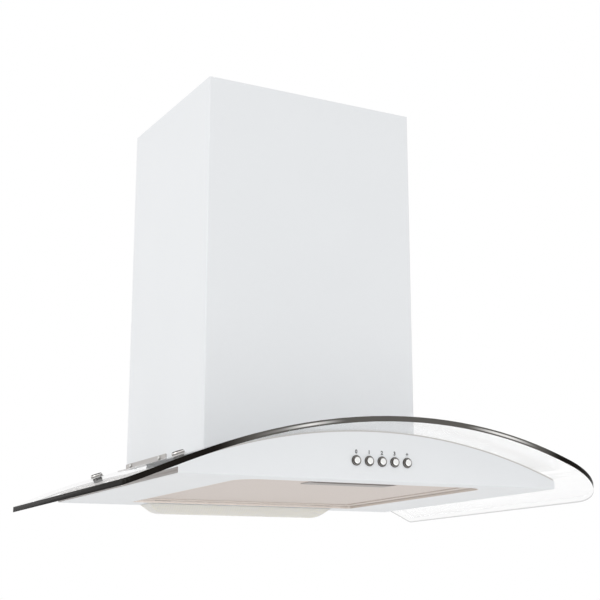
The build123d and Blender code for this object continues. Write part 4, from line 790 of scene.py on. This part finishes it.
# The marks printed above the buttons: plain speeds 0 to 3 and a lamp sign. Grey ink, a few
# hundredths of a millimetre thick, on the front panel's paint.
MARKS = ("mark_0", "mark_1", "mark_2", "mark_3", "mark_lamp")
MARK_HEIGHT = 0.0042
MARK_Z = 0.0322
MARK_FACE_Y = -0.41903
LETTER_SIZE = 1.38 * MARK_HEIGHT
LETTER_SWELL = 0.00028
BULB_RADIUS = 0.00115
BULB_SIDES = 20
RAY_COUNT = 8
RAY_START = 0.0016
RAY_END = 0.0022
RAY_HALF_WIDTH = 0.00016
RAY_CORNERS = (
    (RAY_START, RAY_HALF_WIDTH), (RAY_START, -RAY_HALF_WIDTH),
    (RAY_END, -RAY_HALF_WIDTH), (RAY_END, RAY_HALF_WIDTH),
)
INK_LIGHT = (0.09, 0.09, 0.095)
INK_DARK = (0.05, 0.05, 0.055)
ink, ink_tree, ink_shader = finish_of("grey_ink", INK_LIGHT, roughness=0.6)
ink_pores = place_group(ink_tree, fine_pores, Cells=4000.0)
ink_tone = blend_colors(ink_tree, ink_pores.outputs["Pore"], INK_DARK, INK_LIGHT)
ink_tree.links.new(ink_tone, ink_shader.inputs["Base Color"])


def digit_mesh(name, center_x):
    """A plain digit, the last sign of its name, as a flat mesh on the front panel."""
    digit = bpy.data.curves.new(name, "FONT")
    digit.body = name[-1]
    digit.size = LETTER_SIZE
    digit.offset = LETTER_SWELL
    digit.align_x = "CENTER"
    digit.align_y = "CENTER"
    letter = bpy.data.objects.new(name, digit)
    bpy.context.scene.collection.objects.link(letter)
    letter.rotation_euler = (math.radians(90), 0, 0)
    letter.location = (center_x, MARK_FACE_Y, MARK_Z)
    bpy.context.view_layer.update()
    flat = bpy.data.meshes.new_from_object(letter)
    flat.transform(letter.matrix_world)
    bpy.data.objects.remove(letter)
    return flat


def lamp_sign_mesh(name, center_x):
    """A round bulb with short rays about it, as a flat mesh on the front panel."""
    bulb_turns = [i * math.tau / BULB_SIDES for i in range(BULB_SIDES)]
    loops = [[(BULB_RADIUS * math.cos(angle), BULB_RADIUS * math.sin(angle)) for angle in bulb_turns]]
    for i in range(RAY_COUNT):
        ray_x, ray_z = math.cos(i * math.tau / RAY_COUNT), math.sin(i * math.tau / RAY_COUNT)
        loops.append([(out * ray_x - side * ray_z, out * ray_z + side * ray_x) for out, side in RAY_CORNERS])
    points, faces = [], []
    for loop in loops:
        faces.append(tuple(range(len(points), len(points) + len(loop))))
        points += [(center_x + x, MARK_FACE_Y, MARK_Z + z) for x, z in loop]
    flat = bpy.data.meshes.new(name)
    flat.from_pydata(points, [], faces)
    return flat


for name, button in zip(MARKS, BUTTONS):
    low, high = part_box(button)
    shape = lamp_sign_mesh if name == "mark_lamp" else digit_mesh
    mark_mesh = shape(name, (low.x + high.x) / 2)
    mark_mesh.materials.append(ink)
    mark = bpy.data.objects.new(name, mark_mesh)
    bpy.context.scene.collection.objects.link(mark)
    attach(mark, "hood")
